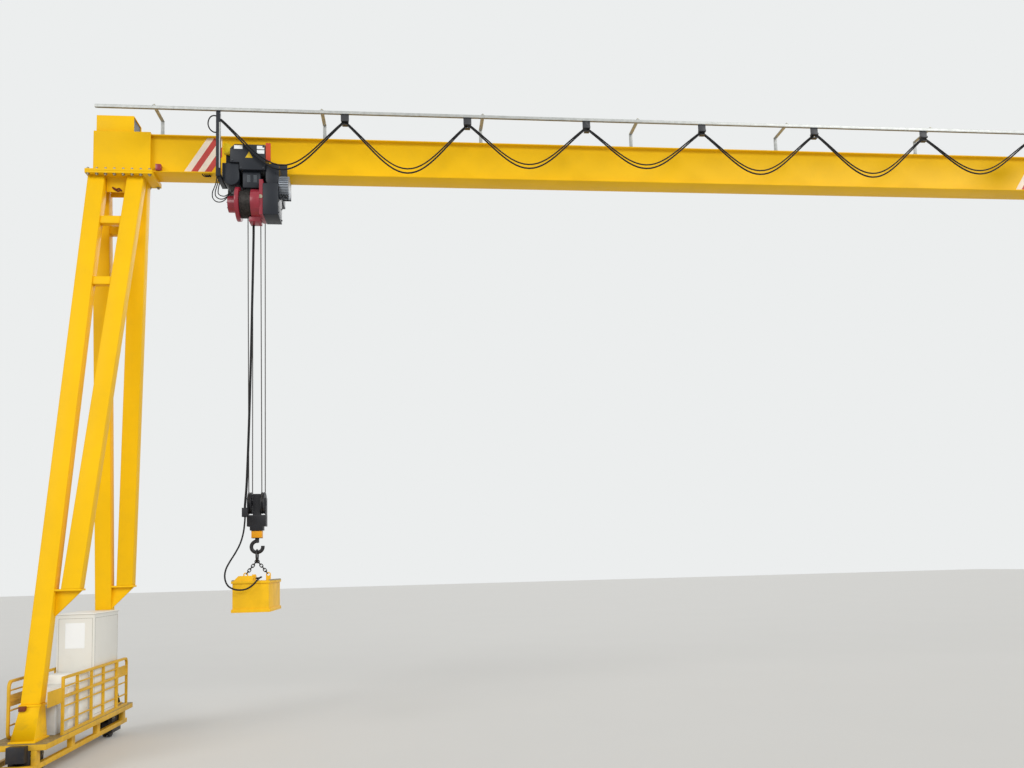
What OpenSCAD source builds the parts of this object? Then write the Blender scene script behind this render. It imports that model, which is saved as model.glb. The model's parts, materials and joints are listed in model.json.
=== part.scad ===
/* [Span and height] */
// Distance between the ground rail and the wall rail
span = 12400; // [10000:100:14000]
// Height of the girder's underside over the ground rail
girder_z = 6400; // [5800:50:7000]

/* [Main girder] */
// Height of the box girder over its flanges
girder_h = 440; // [380:10:520]
// Width of both flanges
flange_w = 280; // [250:5:320]
// Thickness of both flanges
flange_t = 14; // [10:1:20]
// Outer width over the two webs
web_gap = 200; // [170:5:220]
// Thickness of each web
web_t = 10; // [6:1:14]
// Girder's end past the ground rail, on the leg's side
girder_start = 190; // [170:5:260]
// Girder's run past the wall rail
girder_over = 230; // [200:10:400]

/* [Leg head] */
// Left edge of the bolted head plates
head_plate_x = 85; // [60:5:110]
// Length of the bolted head plates along the girder
head_plate_l = 720; // [690:10:780]
// Width of the head plates across the girder
head_plate_w = 400; // [380:10:460]
// Thickness of each head plate
head_plate_t = 25; // [16:1:32]
// Left edge of the head box
head_x = 160; // [140:5:165]
// Length of the head box along the girder
head_l = 615; // [580:5:640]
// Wall of the head box
head_wall = 16; // [10:1:18]
// Length of the small box on top
top_box_l = 405; // [340:5:460]
// Height of the small box on top
top_box_h = 190; // [150:5:230]

/* [Legs] */
// Width of a leg tube across the front
leg_w = 180; // [150:5:190]
// Depth of a leg tube along the rail
leg_d = 130; // [110:2:140]
// Place of the outer leg's top along the girder
outer_top_x = 190; // [170:5:220]
// Place of the inner brace's top along the girder
inner_top_x = 610; // [580:5:640]
// Place of the inner brace's end on the knee
knee_x = 276; // [262:2:300]
// Height of the knee over the rail
knee_z = 1780; // [1600:20:2000]
// Half distance between the two outer legs at the foot flange
foot_y = 1020; // [950:5:1060]
// Half distance between the legs at the head plate
top_y = 72; // [71:1:85]
// Height of the foot flange
foot_flange_z = 700; // [650:10:760]
// Height of the upper rung
rung_high_z = 5770; // [5600:10:5850]
// Height of the lower rung
rung_low_z = 5040; // [4900:10:5200]
// Height of a rung
rung_h = 90; // [60:2:110]

/* [Foot and ground truck] */
// Top of the deck over the rail
deck_z = 370; // [350:5:400]
// Right edge of the deck
deck_right = 235; // [225:5:260]
// Left edge of the deck
deck_left = 300; // [280:10:400]
// Half length of the deck along the rail
deck_y = 1300; // [1280:10:1400]
// Right edge of the low bumper frame
bumper_right = 150; // [150:5:200]
// Diameter of the ground wheels over their flanges
ground_wheel_d = 250; // [220:5:260]
// Half distance between the two ground wheels
wheel_y = 1150; // [1120:5:1150]
// Height of the guard rails over the deck
guard_h = 560; // [500:10:700]
// Thickness of a guard rail's bars
guard_tube = 26; // [20:1:30]

/* [Cabinets] */
// Width of the control cabinet
cabinet_w = 390; // [340:10:400]
// Length of the control cabinet
cabinet_l = 780; // [700:10:790]
// Height of the control cabinet
cabinet_h = 1120; // [1000:10:1150]

/* [Festoon] */
// Distance of the festoon rail in front of the girder's middle
festoon_y = 480; // [470:5:520]
// Height of the festoon rail's underside over the girder's top
festoon_lift = 120; // [90:5:200]
// Distance between two cable carriers
carrier_pitch = 1370; // [1300:10:1380]
// Drop of a cable loop under its carriers
loop_drop = 540; // [450:10:560]
// Diameter of the festoon cable
festoon_d = 22; // [16:1:24]

/* [Hoist] */
// Place of the hook's axis along the girder
hook_x = 1920; // [1880:10:1960]
// Height of the hook block's sheave axle
block_z = 2660; // [2500:20:2900]
// Diameter of the rope drum over its rope
drum_d = 300; // [280:5:310]
// Length of the rope drum
drum_l = 220; // [216:1:230]
// Height of the drum's axis under the girder
drum_drop = 450; // [445:1:470]
// Distance of the drum's axis in front of the girder's middle
drum_y = 350; // [340:5:370]
// Distance between the two pairs of rope falls
fall_gap = 140; // [136:2:150]
// Diameter of the hoist rope
rope_d = 11; // [8:1:12]
// Diameter of the rope's path round a sheave
sheave_d = 230; // [210:5:240]

/* [Hook and chain] */
// Radius of the hook's bowl to the middle of its bar
bowl_r = 62; // [58:1:70]
// Diameter of the hook's bar
hook_bar = 40; // [34:1:42]
// Radius of the master ring to the middle of its wire
ring_r = 61; // [56:1:68]
// Diameter of the master ring's wire
ring_d = 18; // [14:1:18]
// Inner length of a chain link
link_l = 32; // [30:1:36]
// Inner width of a chain link
link_w = 19; // [19:0.5:21]
// Diameter of the chain's wire
link_d = 10; // [8:1:10]
// Distance of a chain lug from the hook's axis
lug_x = 120; // [90:5:130]

/* [Lifting magnet] */
// Width of the magnet along the girder
magnet_w = 400; // [380:10:440]
// Length of the magnet along the rail
magnet_l = 830; // [800:10:900]
// Height of the magnet's housing
magnet_h = 330; // [280:10:360]

/* [Wall truck] */
// Diameter of the wall wheels over their flanges
wall_wheel_d = 200; // [180:5:210]
// Half distance between the two wall wheels
wall_wheel_y = 1000; // [900:10:1100]

/* [Hidden] */
$fn = 48;
yellow = "#fdc80a";
slate = "#23272e";
dark = "#2b2b2d";
red = "#a82a38";
zinc = "#c9ccca";
// Gap between pieces that rest on each other and move
seat = 0.3;
// Room of an axle in its bore, over both sides
running_fit = 0.1;
girder_top = girder_z + girder_h;
plate_mid_z = girder_z - head_plate_t;
leg_top_z = girder_z - 2 * head_plate_t;
head_gap = 1;
base_plate_t = 16;
foot_inner_y = 940;
foot_outer_y = 1250;
axle_d = 50;
deck_bar = 60;
deck_plate_t = 6;
frame_low = 130;
frame_bar = 50;
frame_reach = deck_y + 70;
block_half = 95;
// Festoon
rail_start = head_x + 120;
rail_end = span + girder_over - 60;
rail_z = girder_top + festoon_lift;
rail_w = 32;
rail_wall = 3;
roller_d = 16;
clamp_drop = 90;
clamp_half = 30;
post_w = 45;
carriers = 6;
tow_x = hook_x - 337;
cable_end_x = tow_x + (carriers + 1) * carrier_pitch;
cable_z = rail_z - clamp_drop - festoon_d / 2 - seat;
// Middle of the first strap that holds the festoon rail, and the straps' pitch
first_strap = 900;
strap_pitch = 1800;
straps = 7;
// Left edge of the trolley stops, from the origin and back from the wall rail
stop_x = 830;
stop_back = 730;
stop_l = 60;
// Reach of the wall truck past its wheels' middles
truck_end = 200;
// Trolley, with its parts placed from the hook's axis
side_plate_t = 16;
side_plate_y = flange_w / 2 + 12;
machine_y = side_plate_y + side_plate_t;
wheel_r = 55;
drum_z = girder_z - drum_drop;
drum_x0 = -120;
drum_x1 = drum_x0 + drum_l;
drives_top = girder_z - 10;
drives_low = girder_z - 260;
gear_x0 = 140;
gear_x1 = 305;
coil_pitch = rope_d + 1;
shell_x0 = 5;
rope_end_z = girder_z - 185;
// Hook, chain and magnet
rope_r = sheave_d / 2 + seat - 0.1;
block_low = block_z - 390;
bowl_z = block_z - 485;
shank_d = 44;
ring_z = bowl_z - bowl_r + hook_bar / 2 + ring_d / 2 + seat - ring_r;
leg_off = 13;
links = 6;
link_step = link_l - seat;
link_arc = link_w / 2 + link_d / 2;
link_run = link_l - link_w;
lug_t = 10;
eye_r = 15;
ring_low = (sqrt(pow(ring_r - ring_d / 2, 2) - pow(leg_off, 2))
  + sqrt(pow(ring_r + ring_d / 2, 2) - pow(leg_off, 2))) / 2;
first_link = link_run / 2 - 0.25;
last_link = first_link + (links - 1) * link_step;
eye_reach = last_link + link_run / 2 + sqrt(pow(link_w / 2, 2) - pow(lug_t / 2, 2)) - seat + eye_r;
leg_angle = asin(lug_x / eye_reach);
eye_z = ring_z - ring_low - eye_reach * cos(leg_angle);
magnet_top = eye_z - 65;
magnet_z = magnet_top - magnet_h;
// Cords, with the points of their routes
power_d = 26;
power_top = drum_z - 205;
power_low = block_z - 60;
power_route = [for (p = [[5, -272, 1], [5, -272, 0.994], [4, -270, 0.954], [-4, -264, 0.827],
    [-14, -254, 0.7], [-24, -242, 0.572], [-36, -228, 0.445], [-50, -212, 0.318], [-66, -194, 0.191],
    [-84, -172, 0.079], [-100, -154, 0.025], [-105, -150, 0.006], [-105, -150, 0]])
  [hook_x + p[0], p[1], power_low + p[2] * (power_top - power_low)]];
lead_d = 18;
lead_top = [for (p = [[-105, -150, -160], [-105, -150, -175], [-108, -150, -220],
    [-120, -156, -330], [-148, -186, -450], [-192, -250, -560], [-232, -330, -650]])
  [hook_x + p[0], p[1], block_z + p[2]]];
lead_low = [for (p = [[-256, -410, 122], [-256, -452, 37], [-226, -466, -37], [-170, -470, -77],
    [-100, -470, -91], [-30, -468, -81], [30, -464, -45], [72, -446, 3], [96, -404, 33],
    [102, -352, 39], [90, -306, 35], [66, -278, 29], [44, -270, 27], [30, -270, 27]])
  [hook_x + p[0], p[1], magnet_top + p[2]]];
lead_route = concat(lead_top, lead_low);

// Y of the middle of a leg at a height, on the far side
function leg_y(z) = top_y + (foot_y - top_y) * (leg_top_z - z) / (leg_top_z - foot_flange_z);
// X of the middle of the outer leg at a height
function outer_x(z) = outer_top_x * (z - foot_flange_z) / (leg_top_z - foot_flange_z);
// X of the middle of the inner brace at a height
function inner_x(z) = knee_x + (inner_top_x - knee_x) * (z - knee_z) / (leg_top_z - knee_z);

// Box from a low corner to a high corner
module span_box(lo, hi) {
  translate(lo) cube(hi - lo);
}

module rod_x(d, l) {
  rotate([0, 90, 0]) cylinder(d = d, h = l);
}

module rod_y(d, l) {
  rotate([-90, 0, 0]) cylinder(d = d, h = l);
}

// Slab between two sloping lines of the X and Z plane, as deep as given on both sides of Y
module lean_x(x0, x1, z0, z1, w, depth) {
  translate([0, depth, 0])
    rotate([90, 0, 0])
      linear_extrude(2 * depth)
        polygon([[x0 - w / 2, z0], [x0 + w / 2, z0], [x1 + w / 2, z1], [x1 - w / 2, z1]]);
}

// Slab between two sloping lines of the Y and Z plane, as deep as given on both sides of X
module lean_y(y0, y1, z0, z1, w, depth) {
  translate([-depth, 0, 0])
    rotate([90, 0, 90])
      linear_extrude(2 * depth)
        polygon([[y0 - w / 2, z0], [y0 + w / 2, z0], [y1 + w / 2, z1], [y1 - w / 2, z1]]);
}

// Square tube that leans both ways between two level cuts
module sloping_tube(bottom, top, w, d) {
  intersection() {
    lean_x(bottom[0], top[0], bottom[2], top[2], w, foot_y + leg_d);
    lean_y(bottom[1], top[1], bottom[2], top[2], d, inner_top_x + leg_w);
  }
}

module main_girder() {
  end_t = 10;
  run = span + girder_over - girder_start;
  color(yellow) {
    for (x = [girder_start, girder_start + run - end_t])
      translate([x, -web_gap / 2, girder_z]) cube([end_t, web_gap, girder_h]);
    translate([girder_start, 0, girder_z])
      rotate([90, 0, 90])
        linear_extrude(run)
          difference() {
            union() {
              translate([-flange_w / 2, 0]) square([flange_w, flange_t]);
              translate([-flange_w / 2, girder_h - flange_t]) square([flange_w, flange_t]);
              translate([-web_gap / 2, 0]) square([web_gap, girder_h]);
            }
            translate([-web_gap / 2 + web_t, flange_t])
              square([web_gap - 2 * web_t, girder_h - 2 * flange_t]);
          }
  }
}

module leg_head() {
  half = flange_w / 2 + head_gap + head_wall;
  color(yellow) {
    difference() {
      span_box([head_x, -half, girder_z], [head_x + head_l, half, girder_top + head_gap + head_wall]);
      span_box([head_x + head_wall, -half + head_wall, girder_z - 1],
        [head_x + head_l + 1, half - head_wall, girder_top + head_gap]);
    }
    span_box([head_plate_x, -head_plate_w / 2, plate_mid_z],
      [head_plate_x + head_plate_l, head_plate_w / 2, girder_z]);
  }
}

// Thin shell, open toward the crane's right
module top_box() {
  wall = 8;
  low = girder_top + head_gap + head_wall;
  color(yellow)
    difference() {
      span_box([head_x + 25, -flange_w / 2, low], [head_x + 25 + top_box_l, flange_w / 2, low + top_box_h]);
      span_box([head_x + 25 + wall, -flange_w / 2 + wall, low + wall],
        [head_x + 26 + top_box_l, flange_w / 2 - wall, low + top_box_h - wall]);
    }
}

// Lower head plate, with the stiffeners that stand between the legs
module leg_plate() {
  web_h = 170;
  web_x = outer_top_x + leg_w / 2 + 2;
  color(yellow) {
    span_box([head_plate_x, -head_plate_w / 2, leg_top_z],
      [head_plate_x + head_plate_l, head_plate_w / 2, plate_mid_z]);
    for (s = [-1, 1])
      translate([web_x, s * top_y - 6, leg_top_z - web_h])
        cube([inner_x(leg_top_z - web_h) - leg_w / 2 - 2 - web_x, 12, web_h]);
  }
}

module outer_leg(side) {
  color(yellow)
    sloping_tube([0, side * foot_y, foot_flange_z],
      [outer_top_x, side * top_y, leg_top_z], leg_w, leg_d);
}

module inner_leg(side) {
  color(yellow)
    sloping_tube([knee_x, side * leg_y(knee_z), knee_z],
      [inner_top_x, side * top_y, leg_top_z], leg_w, leg_d);
}

module leg_near_outer() { outer_leg(-1); }
module leg_near_inner() { inner_leg(-1); }
module leg_far_outer() { outer_leg(1); }
module leg_far_inner() { inner_leg(1); }

// One level rung between the outer leg and the inner brace
module rung(side, z) {
  w = leg_w / 2;
  z1 = z + rung_h;
  intersection() {
    translate([0, foot_y, 0])
      rotate([90, 0, 0])
        linear_extrude(2 * foot_y)
          polygon([[outer_x(z) + w, z], [inner_x(z) - w, z], [inner_x(z1) - w, z1], [outer_x(z1) + w, z1]]);
    lean_y(side * leg_y(z), side * leg_y(z1), z, z1, leg_d * 0.7, inner_top_x + leg_w);
  }
}

module rungs() {
  color(yellow)
    for (side = [-1, 1]) {
      rung(side, rung_high_z);
      rung(side, rung_low_z);
    }
}

// Shelf and gusset that carry the inner brace on the outer leg
module knee(side) {
  plate_t = 20;
  x0 = outer_x(knee_z - plate_t) + leg_w / 2;
  x1 = knee_x + leg_w / 2 + 12;
  gusset_h = 250;
  gusset_t = 20;
  lean_a = outer_top_x / (leg_top_z - foot_flange_z);
  y = side * leg_y(knee_z);
  color(yellow) {
    translate([0, y + leg_d / 2, 0])
      rotate([90, 0, 0])
        linear_extrude(leg_d)
          polygon([[x0, knee_z - plate_t], [x1, knee_z - plate_t], [x1, knee_z],
            [x0 + lean_a * plate_t, knee_z]]);
    translate([0, y + gusset_t / 2, 0])
      rotate([90, 0, 0])
        linear_extrude(gusset_t)
          polygon([[x0, knee_z - plate_t], [x1 - 10, knee_z - plate_t],
            [x0 - lean_a * gusset_h, knee_z - plate_t - gusset_h]]);
  }
}

module knees() {
  knee(-1);
  knee(1);
}

// Tapered pedestal with its bolted flange and its base plate
module foot(side) {
  flange = 20;
  base_w = 210;
  rim = 15;
  color(yellow) {
    translate([0, side * (foot_y + 4), foot_flange_z - flange])
      translate([-leg_w / 2 - 10, -leg_d / 2 - 10, 0])
        cube([leg_w + 20, leg_d + 20, flange]);
    hull() {
      translate([-leg_w / 2, side * (foot_y + 4) - leg_d / 2, foot_flange_z - flange - 1])
        cube([leg_w, leg_d, 1]);
      translate([-base_w / 2, side > 0 ? foot_inner_y : -foot_outer_y, deck_z + base_plate_t])
        cube([base_w, foot_outer_y - foot_inner_y, 1]);
    }
    translate([-base_w / 2 - rim, (side > 0 ? foot_inner_y : -foot_outer_y) - rim, deck_z])
      cube([base_w + 2 * rim, foot_outer_y - foot_inner_y + 2 * rim, base_plate_t]);
  }
}

module feet() {
  foot(-1);
  foot(1);
}

// Cast wheel block under the deck, with a slot for the wheel and a square nose
module wheel_block(side) {
  block_l = 320;
  slot = 96;
  top = deck_z - deck_bar;
  nose = 160;
  nose_l = 90;
  color(dark)
    translate([0, side * wheel_y, 0])
      difference() {
        union() {
          span_box([-block_half, -block_l / 2, 60], [block_half, block_l / 2, top]);
          translate([-nose / 2, side > 0 ? block_l / 2 - 1 : -block_l / 2 - nose_l + 1, top - 95])
            cube([nose, nose_l, 145]);
        }
        span_box([-slot / 2, -block_l / 2 - 1, 59], [slot / 2, block_l / 2 + 1, top - 30]);
        translate([-block_half - 1, 0, ground_wheel_d / 2]) rod_x(axle_d, 2 * block_half + 2);
      }
}

module wheel_blocks() {
  wheel_block(-1);
  wheel_block(1);
}

// Double flanged wheel with its axle, running along the rail
module wheel(over_flanges, axle_l) {
  tread = 50;
  rim_w = 12;
  color(dark)
    rotate([90, 0, 90]) {
      cylinder(d = over_flanges - 24, h = tread, center = true);
      for (s = [-1, 1])
        translate([0, 0, s * (tread + rim_w) / 2]) cylinder(d = over_flanges, h = rim_w, center = true);
      cylinder(d = axle_d - running_fit, h = axle_l, center = true);
    }
}

module ground_wheel(side) {
  translate([0, side * wheel_y, ground_wheel_d / 2]) wheel(ground_wheel_d, 2 * block_half + 6);
}

module ground_wheel_near() { ground_wheel(-1); }
module ground_wheel_far() { ground_wheel(1); }

module deck_frame() {
  low = deck_z - deck_bar;
  high = deck_z - deck_plate_t;
  color(yellow) {
    difference() {
      span_box([-deck_left, -deck_y, low], [deck_right, deck_y, high]);
      span_box([-deck_left + deck_bar, -deck_y + deck_bar, low - 1],
        [deck_right - deck_bar, deck_y - deck_bar, high + 1]);
    }
    for (x = [-block_half - 25, bumper_right - deck_bar])
      span_box([x, -deck_y + deck_bar - 1, low], [x + deck_bar, deck_y - deck_bar + 1, high]);
  }
}

module deck_plate() {
  color("#b9a77a")
    span_box([-deck_left, -deck_y, deck_z - deck_plate_t], [deck_right, deck_y, deck_z]);
}

// Low rectangle of square tube round the wheel blocks, hung on posts under the deck
module bumper_frame() {
  post_l = 90;
  color(yellow) {
    difference() {
      span_box([-deck_left, -frame_reach, frame_low], [bumper_right, frame_reach, frame_low + frame_bar]);
      span_box([-deck_left + frame_bar, -frame_reach + frame_bar, frame_low - 1],
        [bumper_right - frame_bar, frame_reach - frame_bar, frame_low + frame_bar + 1]);
    }
    for (x = [-deck_left, bumper_right - frame_bar])
      for (y = [-deck_y, -420, 330, deck_y - post_l])
        span_box([x, y, frame_low + frame_bar - 1], [x + frame_bar, y + post_l, deck_z - deck_bar]);
  }
}

// Upright sheet with rounded corners, drawn in from the panel's edge
module panel_sheet(length, inset, corners) {
  r = 70 - inset;
  difference() {
    translate([inset, inset]) square([length - 2 * inset, guard_h - 2 * inset]);
    for (c = corners)
      translate([c[0] < 0 ? inset : length - inset, c[1] < 0 ? inset : guard_h - inset])
        difference() {
          translate([c[0] < 0 ? -1 : -r, c[1] < 0 ? -1 : -r]) square(r + 1);
          translate([-c[0] * r, -c[1] * r]) circle(r);
        }
  }
}

// Guard rail of square bar, lying along Y from its near end
module guard_panel(length, posts, corners) {
  thin = 14;
  translate([-guard_tube / 2, 0, 0])
    rotate([90, 0, 90]) {
      linear_extrude(guard_tube) {
        difference() {
          panel_sheet(length, 0, corners);
          panel_sheet(length, guard_tube, corners);
        }
        for (p = posts) translate([p[0] - p[1] / 2, 1]) square([p[1], guard_h - 2]);
        translate([1, guard_h * 0.63]) square([length - 2, guard_tube]);
      }
      translate([0, 0, (guard_tube - thin) / 2])
        linear_extrude(thin)
          for (z = [0.22, 0.47, 0.81]) translate([1, guard_h * z]) square([length - 2, thin]);
    }
}

module guard_right() {
  near = -890;
  length = 1990;
  flat_t = 6;
  color(yellow)
    translate([deck_right - 15, near, deck_z]) {
      guard_panel(length, [[390, guard_tube], [800, guard_tube], [1170, guard_tube], [1620, 45]], [[1, 1]]);
      span_box([-flat_t / 2, -360, guard_h * 0.56], [flat_t / 2, 1, guard_h * 0.82]);
      span_box([-flat_t / 2, 1620, guard_h * 0.65], [flat_t / 2, length - 1, guard_h * 0.82]);
    }
}

module guard_left() {
  near = -1050;
  length = 2300;
  color(yellow)
    translate([-deck_right + 20, near, deck_z]) {
      guard_panel(length, [[600, guard_tube], [1150, guard_tube], [1700, guard_tube]],
        [[-1, 1], [-1, -1], [1, 1]]);
      span_box([-3, 1, guard_h * 0.55], [3, 330, guard_h * 0.75]);
    }
}

module control_cabinet() {
  lid = 12;
  x0 = deck_right - 30 - cabinet_w;
  color("#dcdad0") {
    translate([x0, 20, deck_z]) cube([cabinet_w, cabinet_l, cabinet_h]);
    translate([x0 - lid, 20 - lid, deck_z + cabinet_h])
      cube([cabinet_w + 2 * lid, cabinet_l + 2 * lid, lid]);
  }
}

module low_cabinets() {
  wide = 330;
  color("#cfcfcd")
    for (box = [[-620, 290, 430], [-320, 250, 520]])
      translate([deck_right - 50 - wide, box[0], deck_z]) cube([wide, box[1], box[2]]);
}

module upright_box() {
  color("#c4c4c2") translate([10, -860, deck_z]) cube([135, 150, 285]);
}

module festoon_rail() {
  slot = 10;
  color(zinc)
    translate([rail_start, -festoon_y, rail_z])
      rotate([90, 0, 90])
        linear_extrude(rail_end - rail_start)
          difference() {
            translate([-rail_w / 2, 0]) square([rail_w, rail_w]);
            translate([-rail_w / 2 + rail_wall, rail_wall]) square(rail_w - 2 * rail_wall);
            translate([-slot / 2, -1]) square([slot, rail_wall + 2]);
          }
}

// Strap from the girder's top flange over to the festoon rail
module festoon_bracket(x) {
  w = 40;
  t = 8;
  color(zinc)
    translate([x - w / 2, 0, 0]) {
      span_box([0, -flange_w / 2, girder_top], [w, 0, girder_top + t]);
      span_box([0, -flange_w / 2, girder_top + t - 1], [w, -flange_w / 2 + t, rail_z + rail_w + t]);
      span_box([0, -festoon_y - rail_w / 2, rail_z + rail_w], [w, -flange_w / 2 + 1, rail_z + rail_w + t]);
    }
}

module festoon_brackets() {
  for (i = [0 : straps - 1]) festoon_bracket(first_strap + i * strap_pitch);
}

module festoon_box() {
  deep = 120;
  color("#b8bcbf")
    translate([cable_end_x, -festoon_y - deep / 2, rail_z - 190]) cube([300, deep, 190]);
}

// Roller hanger inside the rail, with a pair of rollers at each given place
module rail_hanger(half, places, low) {
  span_box([-half, -3, low], [half, 3, rail_wall + roller_d / 2 + seat]);
  for (x = places)
    translate([x, -11, rail_wall + roller_d / 2 + seat]) rod_y(roller_d, 22);
}

module carrier(i) {
  color(dark)
    translate([tow_x + i * carrier_pitch, -festoon_y, rail_z]) {
      rail_hanger(45, [-30, 30], -clamp_drop + 10);
      span_box([-clamp_half - 10, -30, -clamp_drop], [clamp_half + 10, 30, -clamp_drop + 20]);
    }
}

module carrier_1() { carrier(1); }
module carrier_2() { carrier(2); }
module carrier_3() { carrier(3); }
module carrier_4() { carrier(4); }
module carrier_5() { carrier(5); }
module carrier_6() { carrier(6); }

// Tube along a list of points; the given side is never in line with the tube
module swept_tube(points, d, side) {
  n = len(points);
  sides = 8;
  function along(i) = let (a = points[max(i - 1, 0)], b = points[min(i + 1, n - 1)]) (b - a) / norm(b - a);
  function ring(i) = let (t = along(i), c = cross(t, side), u = c / norm(c), v = cross(t, u))
    [for (k = [0 : sides - 1]) points[i] + d / 2 * (cos(360 * k / sides) * u + sin(360 * k / sides) * v)];
  polyhedron(
    points = [for (i = [0 : n - 1]) each ring(i)],
    faces = concat(
      [[for (k = [0 : sides - 1]) k]],
      [[for (k = [sides - 1 : -1 : 0]) (n - 1) * sides + k]],
      [for (i = [0 : n - 2]) for (k = [0 : sides - 1])
        [i * sides + k, (i + 1) * sides + k, (i + 1) * sides + (k + 1) % sides, i * sides + (k + 1) % sides]]
    )
  );
}

// One hanging loop of the festoon cable between two clamps, from 0 to 1 along it
function loop_point(k, t) = let (free = carrier_pitch - 2 * clamp_half)
  [tow_x + k * carrier_pitch + clamp_half + t * free, -festoon_y,
    cable_z - loop_drop * (2.4 * t * (1 - t) + 0.4 * pow(sin(180 * t), 2))];

module festoon_cable() {
  n = 10;
  loops = [for (k = [0 : carriers]) each [for (j = [0 : n]) loop_point(k, j / n)]];
  color(dark)
    swept_tube(concat([[tow_x + post_w / 2, -festoon_y, cable_z]], loops,
      [[cable_end_x, -festoon_y, cable_z]]), festoon_d, [0, 1, 0]);
}

module wall_truck() {
  beam_w = 200;
  beam_h = 230;
  slot = 100;
  end = wall_wheel_y + truck_end;
  color(yellow)
    translate([span, 0, girder_z])
      difference() {
        span_box([-beam_w / 2, -end, -beam_h], [beam_w / 2, end, 0]);
        for (s = [-1, 1]) {
          span_box([-slot / 2, s * wall_wheel_y - 140, -beam_h - 1],
            [slot / 2, s * wall_wheel_y + 140, -20]);
          translate([-beam_w / 2 - 1, s * wall_wheel_y, -150]) rod_x(axle_d, beam_w + 2);
        }
      }
}

module wall_wheel(side) {
  translate([span, side * wall_wheel_y, girder_z - 150]) wheel(wall_wheel_d, 204);
}

module wall_wheel_near() { wall_wheel(-1); }
module wall_wheel_far() { wall_wheel(1); }

module wall_buffers() {
  l = 80;
  color(dark)
    for (s = [-1, 1])
      translate([span, s > 0 ? wall_wheel_y + truck_end : -wall_wheel_y - truck_end - l, girder_z - 110])
        rod_y(90, l);
}

module trolley_stops() {
  wide = 60;
  color(red)
    for (x = [stop_x, span - stop_back])
      for (s = [-1, 1])
        translate([x, s > 0 ? web_gap / 2 : -web_gap / 2 - wide, girder_z + flange_t])
          cube([stop_l, wide, 70]);
}

// Side plates beside the lower flange, their tie rods and the rope's end beam
module trolley_frame() {
  half = 360;
  color(slate)
    translate([hook_x, 0, girder_z]) {
      for (s = [-1, 1])
        translate([-half, s > 0 ? side_plate_y : -machine_y, -190]) cube([2 * half, side_plate_t, 300]);
      for (x = [-280, 280]) translate([x, -side_plate_y - 1, -120]) rod_y(40, 2 * side_plate_y + 2);
      span_box([-95, 60, rope_end_z - girder_z], [95, side_plate_y + 1, rope_end_z - girder_z + 60]);
    }
}

module trolley_wheels() {
  in = web_gap / 2 + 8;
  color(dark)
    for (s = [-1, 1])
      for (x = [-200, 200])
        translate([hook_x + x, s > 0 ? in : -side_plate_y, girder_z + flange_t + wheel_r + seat])
          rod_y(2 * wheel_r, side_plate_y - in);
}

// Drum with the turns of rope that lie on it
module drum() {
  core = drum_d / 2 - rope_d + 2;
  color(dark)
    translate([hook_x + drum_x0, -drum_y, drum_z])
      rotate([90, 0, 90])
        rotate_extrude() {
          square([core, drum_l]);
          for (x = [for (i = [0 : 8]) 10 + i * coil_pitch, for (i = [0, 1]) drum_l - 24 - i * coil_pitch])
            translate([(drum_d - rope_d) / 2, x]) circle(d = rope_d);
        }
}

// End disc, hub cover, the shell round the free turns and the rope's exit bracket
module rope_guide() {
  shell_t = 14;
  disc_t = 40;
  hub_l = 90;
  inner = drum_d / 2 + 1;
  color(red)
    translate([hook_x, -drum_y, drum_z]) {
      translate([drum_x0 - disc_t, 0, 0]) rod_x(drum_d + 70, disc_t);
      translate([drum_x0 - disc_t - hub_l, 0, 0]) rod_x(180, hub_l + 1);
      difference() {
        translate([shell_x0, 0, 0]) rod_x(2 * (inner + shell_t), drum_x1 - shell_x0 + 1);
        translate([shell_x0 - 1, 0, 0]) rod_x(2 * inner, drum_x1 - shell_x0 + 1);
        span_box([shell_x0 - 1, 60, -inner - shell_t - 1],
          [drum_x1, inner + shell_t + 1, inner + shell_t + 1]);
      }
      span_box([drum_x1, -140, -160], [gear_x0, 140, drives_low - drum_z + 45]);
      span_box([-25, -50, -205], [drum_x1, 100, -inner - 4]);
    }
}

module gearbox() {
  wide = 300;
  color(slate)
    translate([hook_x + gear_x0, -drum_y - wide / 2, drum_z - 165])
      cube([gear_x1 - gear_x0, wide, drives_low - drum_z + 165]);
}

// Motor with cooling fins along it
module hoist_motor() {
  core = 110;
  fin_h = 15;
  fins = 28;
  color("#8b9096")
    translate([hook_x + gear_x1, -drum_y, drives_low + 5])
      rotate([90, 0, 90])
        linear_extrude(105) {
          circle(core);
          for (i = [0 : fins - 1]) rotate(i * 360 / fins) translate([core - 2, -3]) square([fin_h + 2, 6]);
        }
}

module control_box() {
  front = 450;
  low = girder_z - 90;
  high = girder_z + 200;
  step_z = drives_top + 2;
  color(slate)
    translate([hook_x, -machine_y, 0])
      rotate([90, 0, 0])
        linear_extrude(front - machine_y)
          polygon([[-120, low], [160, low], [160, high], [-170, high], [-220, high - 50], [-220, step_z],
            [-120, step_z]]);
}

module hoist_housing() {
  front = 410;
  color(slate)
    translate([hook_x - 90, -front, drum_z + drum_d / 2 + 20])
      cube([drum_x1 + 90, front - machine_y, girder_z - 90 - drum_z - drum_d / 2 - 20]);
}

// Two travel drives, round below and flat on top
module traverse_drives() {
  front = 430;
  h = drives_top - drives_low;
  color(slate)
    for (drive = [[-300, 175], [160, 145]])
      translate([hook_x + drive[0] + drive[1] / 2, -machine_y, drives_low + drive[1] / 2])
        rotate([90, 0, 0])
          linear_extrude(front - machine_y) {
            circle(drive[1] / 2);
            translate([-drive[1] / 2, 0]) square([drive[1], h - drive[1] / 2]);
          }
}

module counterweight() {
  color(slate)
    translate([hook_x - 260, machine_y, girder_z - 190]) cube([520, 240, 240]);
}

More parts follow.
